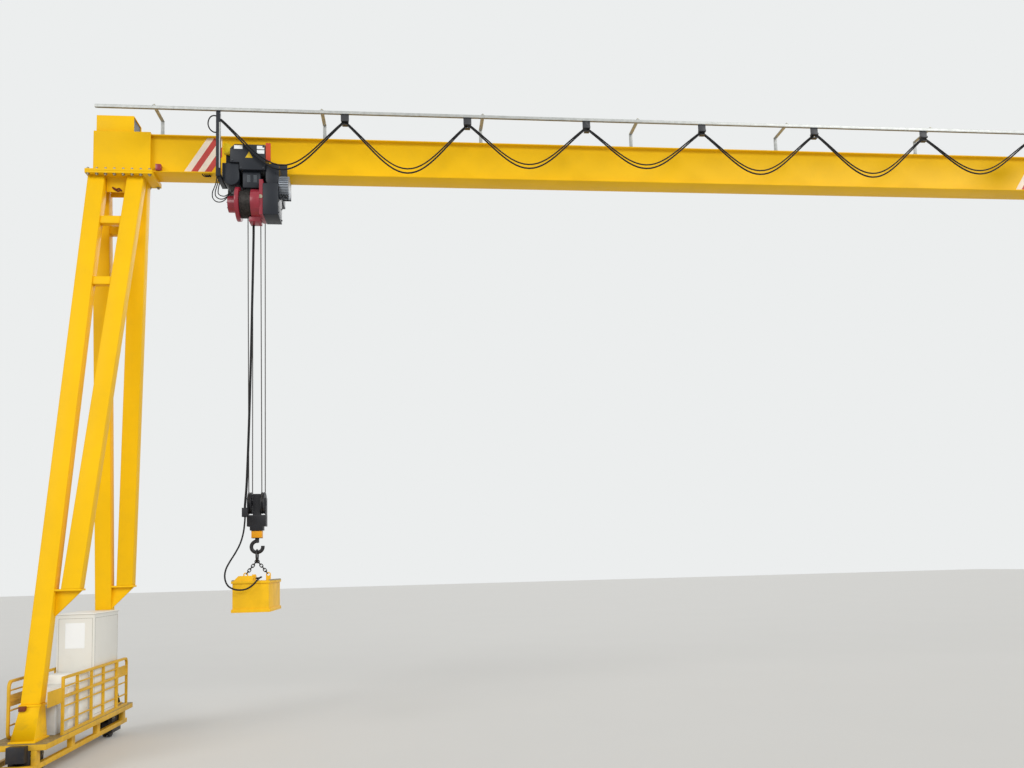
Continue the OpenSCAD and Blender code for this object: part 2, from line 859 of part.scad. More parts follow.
// Post that pulls the festoon along, hung on the rail and held by an arm of the trolley
module tow_arm() {
  low = -190 - festoon_lift - girder_h;
  color("#a9adae")
    translate([tow_x, 0, rail_z]) {
      span_box([-post_w / 2, -festoon_y - post_w / 2, low], [post_w / 2, -festoon_y + post_w / 2, -20]);
      span_box([-post_w / 2, -festoon_y + post_w / 2 - 1, low], [post_w / 2, -machine_y, low + post_w]);
      translate([0, -festoon_y, 0]) rail_hanger(post_w / 2, [0], -21);
    }
}

// Near falls slope from the drum to the sheaves, far falls hang from the end beam
module hoist_ropes() {
  near_top = drum_y - drum_d / 2 - rope_d / 2 - 0.4;
  low = block_z + seat;
  fall = norm([drum_z - low, near_top - rope_r]);
  color(dark)
    for (x = [-fall_gap / 2, fall_gap / 2]) {
      translate([hook_x + x, -rope_r, low])
        rotate([atan((near_top - rope_r) / (drum_z - low)), 0, 0]) cylinder(d = rope_d, h = fall);
      translate([hook_x + x, rope_r, low]) cylinder(d = rope_d, h = rope_end_z - seat - low);
    }
}

module power_cable() {
  color(dark) swept_tube(power_route, power_d, [0, 1, 0]);
}

module magnet_lead() {
  color(dark) swept_tube(lead_route, lead_d, [0.5, -0.6, 0.62]);
}

// Grooved sheave with the rope that lies in its lower half
module sheave() {
  half = 20;
  groove = rope_d + seat;
  rotate([90, 0, 90])
    rotate_extrude()
      difference() {
        translate([0, -half]) square([sheave_d / 2 + 6, 2 * half]);
        translate([sheave_d / 2, 0]) circle(d = groove);
        translate([sheave_d / 2, -groove / 2]) square([7, groove]);
      }
}

module hook_block() {
  lid_z = block_low + 86;
  body = 140;
  shank_top = block_low + 70;
  color(dark)
    translate([hook_x, 0, 0]) {
      for (x = [-fall_gap / 2, fall_gap / 2]) translate([x, 0, block_z]) sheave();
      translate([-fall_gap / 2 - 34, 0, block_z]) rod_x(60, fall_gap + 68);
      for (s = [-1, 1])
        translate([s * (fall_gap / 2 + 28) - 4, -55, block_z - 175]) cube([8, 110, 230]);
      span_box([-fall_gap / 2 - 32, -60, lid_z + 44], [fall_gap / 2 + 32, 60, block_z - sheave_d / 2 - 20]);
      span_box([-body / 2, -60, lid_z], [body / 2, 60, lid_z + 45]);
      span_box([-40, -45, block_z - sheave_d / 2 - 30], [40, 45, block_z + 100]);
      span_box([-135, -175, power_low - 100], [-75, -125, power_low]);
      span_box([-125, -126, power_low - 100], [-85, -59, power_low - 70]);
    }
  color("#f0a000")
    translate([hook_x, 0, 0])
      difference() {
        span_box([-55, -45, block_low], [55, 45, lid_z + 1]);
        translate([0, 0, block_low - 1]) cylinder(d = shank_d + running_fit, h = shank_top - block_low + 1);
      }
}

module hook() {
  tip = 10;
  color(dark)
    translate([hook_x, 0, bowl_z]) {
      difference() {
        rotate([90, 0, 0]) rotate_extrude() translate([bowl_r, 0]) circle(d = hook_bar);
        span_box([tip, -hook_bar, tip], [bowl_r + hook_bar, hook_bar, bowl_r + hook_bar]);
      }
      translate([0, 0, bowl_r - 16]) cylinder(d = shank_d, h = block_low + 70 - seat - bowl_z - bowl_r + 16);
    }
}

// Chain link as a closed loop of round wire, standing along Z with its width along X
module chain_link() {
  for (s = [-1, 1]) {
    intersection() {
      translate([0, 0, s * link_run / 2])
        rotate([90, 0, 0]) rotate_extrude() translate([link_arc, 0]) circle(d = link_d);
      span_box([-2 * link_arc, -link_d, s > 0 ? link_run / 2 : -link_run / 2 - 2 * link_arc],
        [2 * link_arc, link_d, s > 0 ? link_run / 2 + 2 * link_arc : -link_run / 2]);
    }
    translate([s * link_arc, 0, -link_run / 2]) cylinder(d = link_d, h = link_run);
  }
}

// Master ring in the hook's bowl and two legs of interlocked links down to the magnet's lugs
module chain_sling() {
  color(dark)
    translate([hook_x, 0, ring_z]) {
      rotate([0, 90, 0]) rotate_extrude() translate([ring_r, 0]) circle(d = ring_d);
      for (s = [-1, 1])
        translate([0, s * leg_off, -ring_low])
          rotate([0, -s * leg_angle, 0])
            for (i = [0 : links - 1])
              translate([0, 0, -first_link - i * link_step]) rotate([0, 0, i % 2 * 90]) chain_link();
    }
}

// Housing between two flanges, with a sloped cover, two lugs and the lead's gland on top
module magnet() {
  inset = 12;
  low_flange = 35;
  top_flange = 25;
  color("#e0a800")
    translate([hook_x, 0, magnet_z]) {
      translate([-magnet_w / 2, -magnet_l / 2, 0]) cube([magnet_w, magnet_l, low_flange]);
      translate([-magnet_w / 2 + inset, -magnet_l / 2 + inset, low_flange - 1])
        cube([magnet_w - 2 * inset, magnet_l - 2 * inset, magnet_h - low_flange - top_flange + 2]);
      translate([-magnet_w / 2, -magnet_l / 2, magnet_h - top_flange])
        cube([magnet_w, magnet_l, top_flange]);
      translate([0, -150, magnet_h - 1])
        rotate([90, 0, 0])
          linear_extrude(240) polygon([[-185, 0], [20, 0], [20, 56], [-130, 56]]);
      translate([-5, -292, magnet_h - 1]) cube([35, 44, 70]);
      for (s = [-1, 1])
        translate([s * lug_x, s * leg_off - lug_t / 2, 0])
          rotate([-90, 0, 0])
            linear_extrude(lug_t)
              difference() {
                union() {
                  translate([0, magnet_z - eye_z]) circle(eye_r + 11);
                  translate([-eye_r - 11, magnet_z - eye_z])
                    square([2 * eye_r + 22, eye_z - magnet_top + 1]);
                }
                translate([0, magnet_z - eye_z]) circle(eye_r);
              }
    }
}

main_girder();
leg_head();
top_box();
leg_plate();
leg_near_outer();
leg_near_inner();
leg_far_outer();
leg_far_inner();
rungs();
knees();
feet();
wheel_blocks();
deck_frame();
deck_plate();
bumper_frame();
guard_right();
guard_left();
control_cabinet();
low_cabinets();
upright_box();
festoon_rail();
festoon_brackets();
festoon_box();
festoon_cable();
wall_truck();
wall_buffers();
trolley_stops();
ground_wheel_near();
ground_wheel_far();
wall_wheel_near();
wall_wheel_far();
trolley_frame();
trolley_wheels();
drum();
rope_guide();
gearbox();
hoist_motor();
control_box();
hoist_housing();
traverse_drives();
counterweight();
tow_arm();
carrier_1();
carrier_2();
carrier_3();
carrier_4();
carrier_5();
carrier_6();
hoist_ropes();
power_cable();
magnet_lead();
hook_block();
hook();
chain_sling();
magnet();
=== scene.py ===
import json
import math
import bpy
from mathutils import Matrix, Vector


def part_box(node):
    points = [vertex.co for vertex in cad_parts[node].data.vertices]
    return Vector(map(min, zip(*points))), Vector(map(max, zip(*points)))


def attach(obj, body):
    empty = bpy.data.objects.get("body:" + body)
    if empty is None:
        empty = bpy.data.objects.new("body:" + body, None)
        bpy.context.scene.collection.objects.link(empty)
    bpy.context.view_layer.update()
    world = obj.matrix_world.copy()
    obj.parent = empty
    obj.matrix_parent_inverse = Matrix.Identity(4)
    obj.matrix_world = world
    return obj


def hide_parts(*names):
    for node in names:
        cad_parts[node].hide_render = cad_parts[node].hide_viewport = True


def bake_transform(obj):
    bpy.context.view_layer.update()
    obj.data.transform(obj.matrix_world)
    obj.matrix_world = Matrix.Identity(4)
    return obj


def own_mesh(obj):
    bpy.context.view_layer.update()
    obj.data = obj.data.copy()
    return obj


bl_info = {
    "name": "Semi-gantry crane",
    "version": (1, 0, 0),
    "blender": (4, 5, 0),
    "location": "View3D > Sidebar > Crane",
    "description": "Gives the solid frame of a semi-gantry crane its paint, bolts, cables and fittings",
    "category": "Object",
}

import bmesh
import bpy
from bpy.props import FloatProperty, FloatVectorProperty, IntProperty, PointerProperty
from mathutils import Matrix, Vector

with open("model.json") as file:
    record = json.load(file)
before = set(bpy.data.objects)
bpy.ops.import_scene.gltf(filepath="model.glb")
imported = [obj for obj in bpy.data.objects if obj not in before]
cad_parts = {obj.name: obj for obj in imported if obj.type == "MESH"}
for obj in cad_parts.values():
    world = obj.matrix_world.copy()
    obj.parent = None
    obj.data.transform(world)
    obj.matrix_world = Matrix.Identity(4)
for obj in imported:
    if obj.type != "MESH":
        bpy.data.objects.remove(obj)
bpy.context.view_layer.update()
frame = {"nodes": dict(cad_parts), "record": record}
RECORD = frame["record"]
BODY_OF = {node: body for body, nodes in RECORD["behaviour"]["bodies"].items() for node in nodes}
SLOT_OF = {part["node"]: part["material_slot"] for part in RECORD["subparts"]}

# Places and sizes that the pieces share, in metres
TOW_X = 1.583
FESTOON_Y = -0.48
CLAMP_Z = 6.87
CLAMP_HALF = 0.03
POST_HALF = 0.0225
CABLE_LANE = 0.0195
PITCH = 1.37
CARRIERS = 6
# How deep each loop of the festoon hangs, from the hoist to the wall
LOOP_DEPTHS = (0.54, 0.54, 0.47, 0.43, 0.46, 0.48, 0.4)
STRAPS = 7
FIRST_STRAP_X = 0.9
STRAP_PITCH = 1.8
GIRDER_LOW = 6.4
WEB_FACE = 0.1
HEAD_PLATE_LOW = 6.35
HOIST_FRONT = -0.45
HOOK_X = 1.92
DRUM_Y = -0.35
DRUM_Z = 5.95
DRUM_RADIUS = 0.15
ROPE = 0.011
SHEAVE_Z = 2.66
ROPE_Y = 0.1152
FALLS_X = (1.85, 1.99)
FILM = 0.001

# The photo's size and focal length in pixels, and the row that the camera looks straight at
PICTURE_WIDTH, PICTURE_HEIGHT = 1024, 768
FOCAL_LENGTH = 900
CENTRE_ROW = 480
CAMERA_AT = (3.63, -10.24, 1.9)
YAW, PITCH_DOWN, ROLL = 6.4, 5.4, -1.5
# Each lamp's name, turn in degrees and strength
LAMPS = (("key_lamp", (62, 0, 40), 1.7), ("fill_lamp", (66, 0, -38), 0.85), ("back_lamp", (60, 0, 165), 0.4))


def box_of(node):
    low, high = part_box(node)
    return Vector(low), Vector(high)


MAGNET_TOP = box_of("magnet")[0].z + 0.33


def linear(hex_colour):
    """An sRGB hex value as the linear colour that the shader wants."""
    values = [int(hex_colour[i : i + 2], 16) / 255 for i in (1, 3, 5)]
    return tuple(v / 12.92 if v <= 0.04045 else ((v + 0.055) / 1.055) ** 2.4 for v in values)


# --- Settings -----------------------------------------------------------------


def colour_property(name, description, hex_colour):
    return FloatVectorProperty(
        name=name, description=description, subtype="COLOR", size=3, min=0, max=1, default=linear(hex_colour)
    )


class CranePaints(bpy.types.PropertyGroup):
    yellow: colour_property("Crane yellow", "Enamel on girder, legs and frames", "#f8c20a")
    magnet: colour_property("Magnet yellow", "Worn enamel on the lifting magnet", "#f2bb08")
    slate: colour_property("Hoist slate", "Powder coat on the hoist's housings", "#20242b")
    red: colour_property("Drum red", "Enamel on the rope guide and end disc", "#962032")
    stripe_red: colour_property("Stripe red", "Red of the hazard stripes", "#c4473f")
    stripe_white: colour_property("Stripe white", "White of the hazard stripes", "#f4e4cf")
    cabinet: colour_property("Cabinet grey", "Powder coat on the electrical cabinets", "#e9e9e3")
    dirt: colour_property("Dirt", "Shop dirt that settles low on the crane", "#6b5a3c")


class CraneSizes(bpy.types.PropertyGroup):
    edge: FloatProperty(
        name="Edge", description="Width of the eased edge on steelwork", unit="LENGTH", default=0.003, min=0.0005
    )
    head_bolt: FloatProperty(
        name="Head plate bolt", description="Size across the flats of the head plate's bolts",
        unit="LENGTH", default=0.024, min=0.01,
    )
    small_bolt: FloatProperty(
        name="Small bolt", description="Size across the flats of the hoist's screws",
        unit="LENGTH", default=0.013, min=0.005,
    )
    bolt_pitch: FloatProperty(
        name="Bolt pitch", description="Distance between bolts of the head plates",
        unit="LENGTH", default=0.085, min=0.03,
    )
    sides: IntProperty(name="Cable sides", description="Flat sides round a cable", default=12, min=6, max=24)


def paints():
    return bpy.context.scene.crane_paints


def sizes():
    return bpy.context.scene.crane_sizes


# --- Node trees and materials -------------------------------------------------


def add_node(tree, kind, settings=None, inputs=None):
    """Adds one node; an input is a plain value, or another node's output to link from."""
    node = tree.nodes.new(kind)
    for key, value in (settings or {}).items():
        setattr(node, key, value)
    for key, value in (inputs or {}).items():
        if isinstance(value, bpy.types.NodeSocket):
            tree.links.new(value, node.inputs[key])
        else:
            node.inputs[key].default_value = value
    return node


MATERIALS = {}


def finish(
    name, colour, roughness, metallic=0.0, shade=0.86, grain=0.4, dirt=0.0, bump=0.0, bump_size=0.02, shine=0.3
):
    """One surface: two tones of its colour in soft patches, dirt that thins out with height, a fine bump.

    The patches' grain, the bump and the bump's size are in metres.
    """
    if name in MATERIALS:
        return MATERIALS[name]
    material = bpy.data.materials.new(name)
    material.use_nodes = True
    tree = material.node_tree
    tree.nodes.clear()
    place = add_node(tree, "ShaderNodeTexCoord").outputs["Object"]
    patches = add_node(
        tree, "ShaderNodeTexNoise", None, {"Vector": place, "Scale": 1 / grain, "Detail": 4.0, "Roughness": 0.55}
    )
    soft = add_node(
        tree, "ShaderNodeMapRange", None,
        {"Value": patches.outputs["Fac"], "From Min": 0.35, "From Max": 0.65, "To Min": 0.0, "To Max": 1.0},
    )
    tones = add_node(
        tree, "ShaderNodeMix", {"data_type": "RGBA"},
        {0: soft.outputs["Result"], 6: (*[c * shade for c in colour], 1), 7: (*colour, 1)},
    )
    surface = tones.outputs[2]
    if dirt:
        height = add_node(tree, "ShaderNodeSeparateXYZ", None, {"Vector": place}).outputs["Z"]
        low = add_node(
            tree, "ShaderNodeMapRange", None,
            {"Value": height, "From Min": 0.1, "From Max": 1.5, "To Min": 1.0, "To Max": 0.12},
        )
        speck = add_node(
            tree, "ShaderNodeTexNoise", None, {"Vector": place, "Scale": 7.0, "Detail": 7.0, "Roughness": 0.65}
        )
        marks = add_node(
            tree, "ShaderNodeMapRange", None,
            {"Value": speck.outputs["Fac"], "From Min": 0.48, "From Max": 0.72, "To Min": 0.0, "To Max": dirt},
        )
        amount = add_node(
            tree, "ShaderNodeMath", {"operation": "MULTIPLY"}, {0: low.outputs["Result"], 1: marks.outputs["Result"]}
        )
        soiled = add_node(
            tree, "ShaderNodeMix", {"data_type": "RGBA"}, {0: amount.outputs[0], 6: surface, 7: (*paints().dirt, 1)}
        )
        surface = soiled.outputs[2]
    given = {"Base Color": surface, "Roughness": roughness, "Metallic": metallic, "Specular IOR Level": shine}
    if bump:
        relief = add_node(
            tree, "ShaderNodeTexNoise", None, {"Vector": place, "Scale": 1 / bump_size, "Detail": 2.0}
        )
        given["Normal"] = add_node(
            tree, "ShaderNodeBump", None, {"Strength": 0.5, "Distance": bump, "Height": relief.outputs["Fac"]}
        ).outputs["Normal"]
    shader = add_node(tree, "ShaderNodeBsdfPrincipled", None, given)
    add_node(tree, "ShaderNodeOutputMaterial", None, {"Surface": shader.outputs[0]})
    MATERIALS[name] = material
    return material


def crane_enamel():
    # Brushed-on enamel: an even golden yellow with faint patches, a soft gloss and dirt low down
    return finish(
        "golden_enamel", paints().yellow, 0.48, shade=0.92, grain=0.9, dirt=0.35, bump=0.0004, shine=0.16
    )


def soiled_enamel():
    # The same enamel on the frames near the floor, in a darker base colour that is painted shade, duller, with dirt
    # ground in
    return finish("soiled_enamel", linear("#dfae26"), 0.55, shade=0.84, grain=0.3, dirt=0.45, bump=0.0006)


def magnet_enamel():
    # Enamel on a tool that is knocked about: duller, with more dirt in it
    return finish("worn_enamel", paints().magnet, 0.5, shade=0.86, grain=0.16, dirt=0.35, bump=0.0008)


def slate_coat():
    # Powder coat: nearly black with a blue cast and a fine orange peel
    return finish("slate_powder_coat", paints().slate, 0.42, shade=0.85, bump=0.0003, bump_size=0.006)


def red_enamel():
    # Enamel on turned and bent steel: deep red with a bright highlight
    return finish("red_enamel", paints().red, 0.3, shade=0.82, grain=0.2, shine=0.6)


def cabinet_coat():
    # Powder coat on folded sheet: warm pale grey, satin
    return finish(
        "cabinet_powder_coat", paints().cabinet, 0.45, shade=0.97, dirt=0.08, bump=0.0002, bump_size=0.004
    )


def light_grey_coat():
    # Powder coat on small boxes: plain light grey
    return finish("light_grey_powder_coat", linear("#c3c5c4"), 0.45, shade=0.93, dirt=0.2)


def galvanised_steel():
    # Hot-dip zinc: pale, dull and slightly mottled
    return finish("galvanised_steel", linear("#b4b6b3"), 0.45, metallic=0.45, shade=0.82, grain=0.05)


def cast_iron():
    # Cast and turned iron with a thin film of grease: dark brown grey
    return finish("cast_iron", linear("#3b3735"), 0.55, metallic=0.5, shade=0.7, grain=0.06, bump=0.0006)


def black_enamel():
    # Thin black enamel on castings and forgings
    return finish("black_enamel", linear("#222226"), 0.45, shade=0.8, grain=0.1, dirt=0.12, bump=0.0004)


def cable_rubber():
    # Extruded rubber sheath: black, dull
    return finish("cable_rubber", linear("#141416"), 0.7, shade=0.85, grain=0.05)


def buffer_rubber():
    # Moulded rubber: black and matt
    return finish("buffer_rubber", linear("#232323"), 0.75, shade=0.85, grain=0.05)


def wire_rope():
    # Greased steel wire: the lay is finer than the render shows, so it is drawn as coarse as two diameters
    return finish("greased_wire_rope", linear("#4a4744"), 0.5, metallic=0.6, shade=0.55, grain=0.022)


def cast_aluminium():
    # Bare cast aluminium with a rough skin
    return finish("cast_aluminium", linear("#9a9fa6"), 0.5, metallic=0.7, shade=0.85, grain=0.04, bump=0.0004)


def deck_steel():
    # Rolled tread plate with worn paint and dirt
    return finish("tread_plate", linear("#a08a5a"), 0.6, metallic=0.2, shade=0.75, grain=0.15, dirt=0.8)


def nylon():
    # Moulded nylon: dark, slightly glossy
    return finish("black_nylon", linear("#3c3d40"), 0.45, shade=0.9)


def zinc_bolt():
    # Zinc plated bolts: pale grey metal
    return finish("zinc_plated_bolt", linear("#a39c86"), 0.45, metallic=0.6, shade=0.8, grain=0.02)


def dark_bolt():
    # Blackened screws on the dark housings
    return finish("blackened_bolt", linear("#4a4c50"), 0.4, metallic=0.6, shade=0.8, grain=0.02)


def white_sheet():
    # Printed film, left blank: flat white
    return finish("white_film", linear("#eceff0"), 0.5, shade=0.97)


def stripe_paint(tone):
    # Hand-rolled stripe paint: flat, a little patchy
    return finish("stripe_paint_" + tone, getattr(paints(), "stripe_" + tone), 0.5, shade=0.92, grain=0.12)


def slate_primer():
    # Painted shade: a flat blue-grey sheet inside the top box's open side, standing for its shaded interior
    return finish("slate_primer", linear("#3a4048"), 0.5, shade=0.9)


def red_oxide_primer():
    # Primer that was dabbed on and ran: rust red, blotchy, matt
    return finish("red_oxide_primer", linear("#6d2a1c"), 0.8, shade=0.6, grain=0.03)


def brown_enamel():
    # Stoved enamel on a small cast case: red brown, worn
    return finish("brown_enamel", linear("#7a3b22"), 0.55, shade=0.7, grain=0.03)


def door_seal_rubber():
    # Painted shade in the door gaps: warm grey, matt strips that stand for the shadow lines
    return finish("door_seal_rubber", linear("#a5a298"), 0.7)


def yellow_film():
    # Vinyl film, left blank: flat yellow
    return finish("yellow_vinyl_film", linear("#d9b41e"), 0.5)


def signal_enamel():
    # Sprayed enamel on the hoist's side strip: bright orange red
    return finish("signal_red_enamel", linear("#c8482e"), 0.45)


def vent_coat():
    # Powder coat on pressed slats: mid grey
    return finish("vent_powder_coat", linear("#6d7378"), 0.5)


def yellow_nylon():
    # Moulded nylon cover: bright yellow, satin
    return finish("yellow_nylon", linear("#f3cf1a"), 0.4)


def orange_enamel():
    # Enamel on the swivel's cover: orange yellow, satin
    return finish("orange_enamel", linear("#eba008"), 0.45)


def sealed_concrete():
    # Floated and sealed concrete: plain, pale, matt
    return finish("sealed_concrete", linear("#dddcd8"), 0.85, shade=0.99, grain=2.0)


# Which finish each material slot of the record has
SLOT_FINISH = {
    "crane_paint": crane_enamel,
    "cabinet_paint": cabinet_coat,
    "grey_paint": light_grey_coat,
    "black_paint": black_enamel,
    "wheel_steel": cast_iron,
    "galvanised": galvanised_steel,
    "cable_rubber": cable_rubber,
    "buffer_rubber": buffer_rubber,
    "red_paint": red_enamel,
    "deck_steel": deck_steel,
    "slate_paint": slate_coat,
    "motor_aluminium": cast_aluminium,
    "rope_steel": wire_rope,
    "carrier_plastic": nylon,
    "hook_steel": black_enamel,
    "magnet_paint": magnet_enamel,
}


# --- Mesh building ------------------------------------------------------------


def block(low, high):
    """Corners and faces of a box between two corners."""
    (x0, y0, z0), (x1, y1, z1) = low, high
    points = [(x, y, z) for z in (z0, z1) for y in (y0, y1) for x in (x0, x1)]
    return points, [(0, 2, 3, 1), (4, 5, 7, 6), (0, 1, 5, 4), (2, 6, 7, 3), (0, 4, 6, 2), (1, 3, 7, 5)]


def frame_along(direction):
    """Two directions square to a given one."""
    side = Vector((0.5, -0.6, 0.62))
    if abs(direction.normalized().dot(side)) >= 0.95:
        side = Vector((0, 1, 0))
    u = direction.cross(side).normalized()
    return u, direction.cross(u).normalized()


def slab(outline, axis, low, high):
    """An outline in the plane square to an axis, given thickness along it."""
    def place(a, b, c):
        return {"x": (c, a, b), "y": (a, c, b), "z": (a, b, c)}[axis]

    n = len(outline)
    points = [place(a, b, low) for a, b in outline] + [place(a, b, high) for a, b in outline]
    faces = [tuple(range(n)), tuple(range(2 * n - 1, n - 1, -1))]
    faces += [(k, k + n, (k + 1) % n + n, (k + 1) % n) for k in range(n)]
    return points, faces


def smooth_path(points, steps):
    """A smooth curve through the points, with some steps between two of them."""
    points = [Vector(p) for p in points]
    out = []
    for i in range(len(points) - 1):
        a, b = points[i], points[i + 1]
        before = points[max(i - 1, 0)]
        after = points[min(i + 2, len(points) - 1)]
        for j in range(steps):
            t = j / steps
            m0, m1 = (b - before) / 2, (after - a) / 2
            out.append(
                (2 * t**3 - 3 * t**2 + 1) * a + (t**3 - 2 * t**2 + t) * m0
                + (-2 * t**3 + 3 * t**2) * b + (t**3 - t**2) * m1
            )
    return out + [points[-1]]


def tube(points, diameter, sides):
    """A closed tube along a list of points, turned as little as the path allows."""
    points = [Vector(p) for p in points]
    n = len(points)
    u = None
    verts, faces = [], []
    for i in range(n):
        along = (points[min(i + 1, n - 1)] - points[max(i - 1, 0)]).normalized()
        u = frame_along(along)[0] if u is None else (u - along * u.dot(along)).normalized()
        v = along.cross(u)
        for k in range(sides):
            angle = 2 * math.pi * k / sides
            verts.append(points[i] + diameter / 2 * (math.cos(angle) * u + math.sin(angle) * v))
    faces.append(tuple(range(sides - 1, -1, -1)))
    faces.append(tuple((n - 1) * sides + k for k in range(sides)))
    for i in range(n - 1):
        for k in range(sides):
            a, b = i * sides + k, i * sides + (k + 1) % sides
            faces.append((a, b, b + sides, a + sides))
    return verts, faces


# Faces that meet at more than this stay sharp
SHARP = math.radians(35)


def object_from(name, mesh, material):
    mesh.materials.clear()
    mesh.materials.append(material)
    piece = bpy.data.objects.new(name, mesh)
    bpy.context.collection.objects.link(piece)
    return piece


def shaped(piece, edge):
    """Eases the sharp edges of a piece and smooths the rest; gives the final mesh back to the piece."""
    if edge:
        modifier = piece.modifiers.new("eased", "BEVEL")
        modifier.width = edge
        modifier.segments = 2
        modifier.limit_method = "ANGLE"
        modifier.angle_limit = math.radians(50)
        evaluated = piece.evaluated_get(bpy.context.evaluated_depsgraph_get())
        mesh = bpy.data.meshes.new_from_object(evaluated)
        piece.modifiers.clear()
        piece.data = mesh
    for polygon in piece.data.polygons:
        polygon.use_smooth = True
    piece.data.set_sharp_from_angle(angle=SHARP)
    return piece


def make(name, shapes, material, body, edge=0.0):
    """One piece from a list of shapes, riding on a body."""
    bm = bmesh.new()
    for points, faces in shapes:
        corners = [bm.verts.new(p) for p in points]
        for face in faces:
            bm.faces.new([corners[i] for i in face])
    bmesh.ops.recalc_face_normals(bm, faces=bm.faces)
    mesh = bpy.data.meshes.new(name)
    bm.to_mesh(mesh)
    bm.free()
    piece = shaped(object_from(name, mesh, material), edge)
    if body:
        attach(piece, body)
    return piece


def dress(node, edge, material=None):
    """A clean copy of a solid with eased edges, in its finish, shown in its place."""
    mesh = frame["nodes"][node].data.copy()
    bm = bmesh.new()
    bm.from_mesh(mesh)
    bmesh.ops.remove_doubles(bm, verts=bm.verts, dist=0.00001)
    bmesh.ops.dissolve_limit(bm, angle_limit=math.radians(0.4), verts=bm.verts, edges=bm.edges)
    bm.to_mesh(mesh)
    bm.free()
    piece = object_from(node + "_dressed", mesh, material or SLOT_FINISH[SLOT_OF[node]]())
    shaped(piece, edge)
    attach(piece, BODY_OF[node])
    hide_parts(node)
    return piece


# --- Geometry Nodes: hexagon bolts and tread studs ----------------------------


def points_tree(name, inputs, result):
    """A new tree that takes points, sizes and a finish; gives it back with what it is given."""
    tree = bpy.data.node_groups.new(name, "GeometryNodeTree")
    tree.interface.new_socket("Points", in_out="INPUT", socket_type="NodeSocketGeometry")
    for size in inputs:
        tree.interface.new_socket(size, in_out="INPUT", socket_type="NodeSocketFloat")
    tree.interface.new_socket("Finish", in_out="INPUT", socket_type="NodeSocketMaterial")
    tree.interface.new_socket(result, in_out="OUTPUT", socket_type="NodeSocketGeometry")
    return tree, add_node(tree, "NodeGroupInput").outputs


def set_out(tree, given, shape, turn):
    """Sets a shape on each point, turned, makes the copies real and gives them their finish."""
    placed = add_node(
        tree, "GeometryNodeInstanceOnPoints", None, {"Points": given["Points"], "Instance": shape, "Rotation": turn}
    )
    real = add_node(tree, "GeometryNodeRealizeInstances", None, {"Geometry": placed.outputs[0]})
    painted = add_node(
        tree, "GeometryNodeSetMaterial", None, {"Geometry": real.outputs[0], "Material": given["Finish"]}
    )
    add_node(tree, "NodeGroupOutput", None, {0: painted.outputs[0]})
    return tree


def raised_cylinder(tree, sides, radius, depth, centre_z):
    """A cylinder along Z with its middle at a height."""
    cylinder = add_node(
        tree, "GeometryNodeMeshCylinder", None, {"Vertices": sides, "Radius": radius, "Depth": depth}
    )
    lift = add_node(tree, "ShaderNodeCombineXYZ", None, {"Z": centre_z})
    return add_node(
        tree, "GeometryNodeTransform", None, {"Geometry": cylinder.outputs["Mesh"], "Translation": lift.outputs[0]}
    ).outputs[0]


def bolt_tree():
    """Sets a washer and a hexagon head on each point, turned along the point's own axis."""
    name = "hexagon_bolts"
    if name in bpy.data.node_groups:
        return bpy.data.node_groups[name]
    inputs = ("Across flats", "Head height", "Washer width", "Washer thickness")
    tree, given = points_tree(name, inputs, "Bolts")
    height, thickness = given["Head height"], given["Washer thickness"]
    corner = add_node(tree, "ShaderNodeMath", {"operation": "DIVIDE"}, {0: given["Across flats"], 1: math.sqrt(3)})
    middle = add_node(
        tree, "ShaderNodeMath", {"operation": "MULTIPLY_ADD"}, {0: height, 1: 0.5, 2: thickness}
    )
    head = raised_cylinder(tree, 6, corner.outputs[0], height, middle.outputs[0])
    wide = add_node(tree, "ShaderNodeMath", {"operation": "MULTIPLY"}, {0: given["Washer width"], 1: 0.5})
    half = add_node(tree, "ShaderNodeMath", {"operation": "MULTIPLY"}, {0: thickness, 1: 0.5})
    washer = raised_cylinder(tree, 16, wide.outputs[0], thickness, half.outputs[0])
    bolt = add_node(tree, "GeometryNodeJoinGeometry")
    tree.links.new(head, bolt.inputs[0])
    tree.links.new(washer, bolt.inputs[0])
    axis = add_node(tree, "GeometryNodeInputNamedAttribute", {"data_type": "FLOAT_VECTOR"}, {"Name": "axis"})
    turn = add_node(tree, "FunctionNodeAlignRotationToVector", {"axis": "Z"}, {"Vector": axis.outputs["Attribute"]})
    return set_out(tree, given, bolt.outputs[0], turn.outputs[0])


def stud_tree():
    """Sets a short rib on each point, turned one way and the other in turn."""
    name = "tread_studs"
    if name in bpy.data.node_groups:
        return bpy.data.node_groups[name]
    tree, given = points_tree(name, ("Stud length", "Stud width", "Stud height"), "Studs")
    size = add_node(
        tree, "ShaderNodeCombineXYZ", None,
        {"X": given["Stud length"], "Y": given["Stud width"], "Z": given["Stud height"]},
    )
    stud = add_node(tree, "GeometryNodeMeshCube", None, {"Size": size.outputs[0]})
    number = add_node(tree, "GeometryNodeInputIndex")
    odd = add_node(tree, "ShaderNodeMath", {"operation": "MODULO"}, {0: number.outputs[0], 1: 2.0})
    angle = add_node(
        tree, "ShaderNodeMath", {"operation": "MULTIPLY_ADD"}, {0: odd.outputs[0], 1: math.pi / 2, 2: math.pi / 4}
    )
    turn = add_node(tree, "ShaderNodeCombineXYZ", None, {"Z": angle.outputs[0]})
    return set_out(tree, given, stud.outputs["Mesh"], turn.outputs[0])


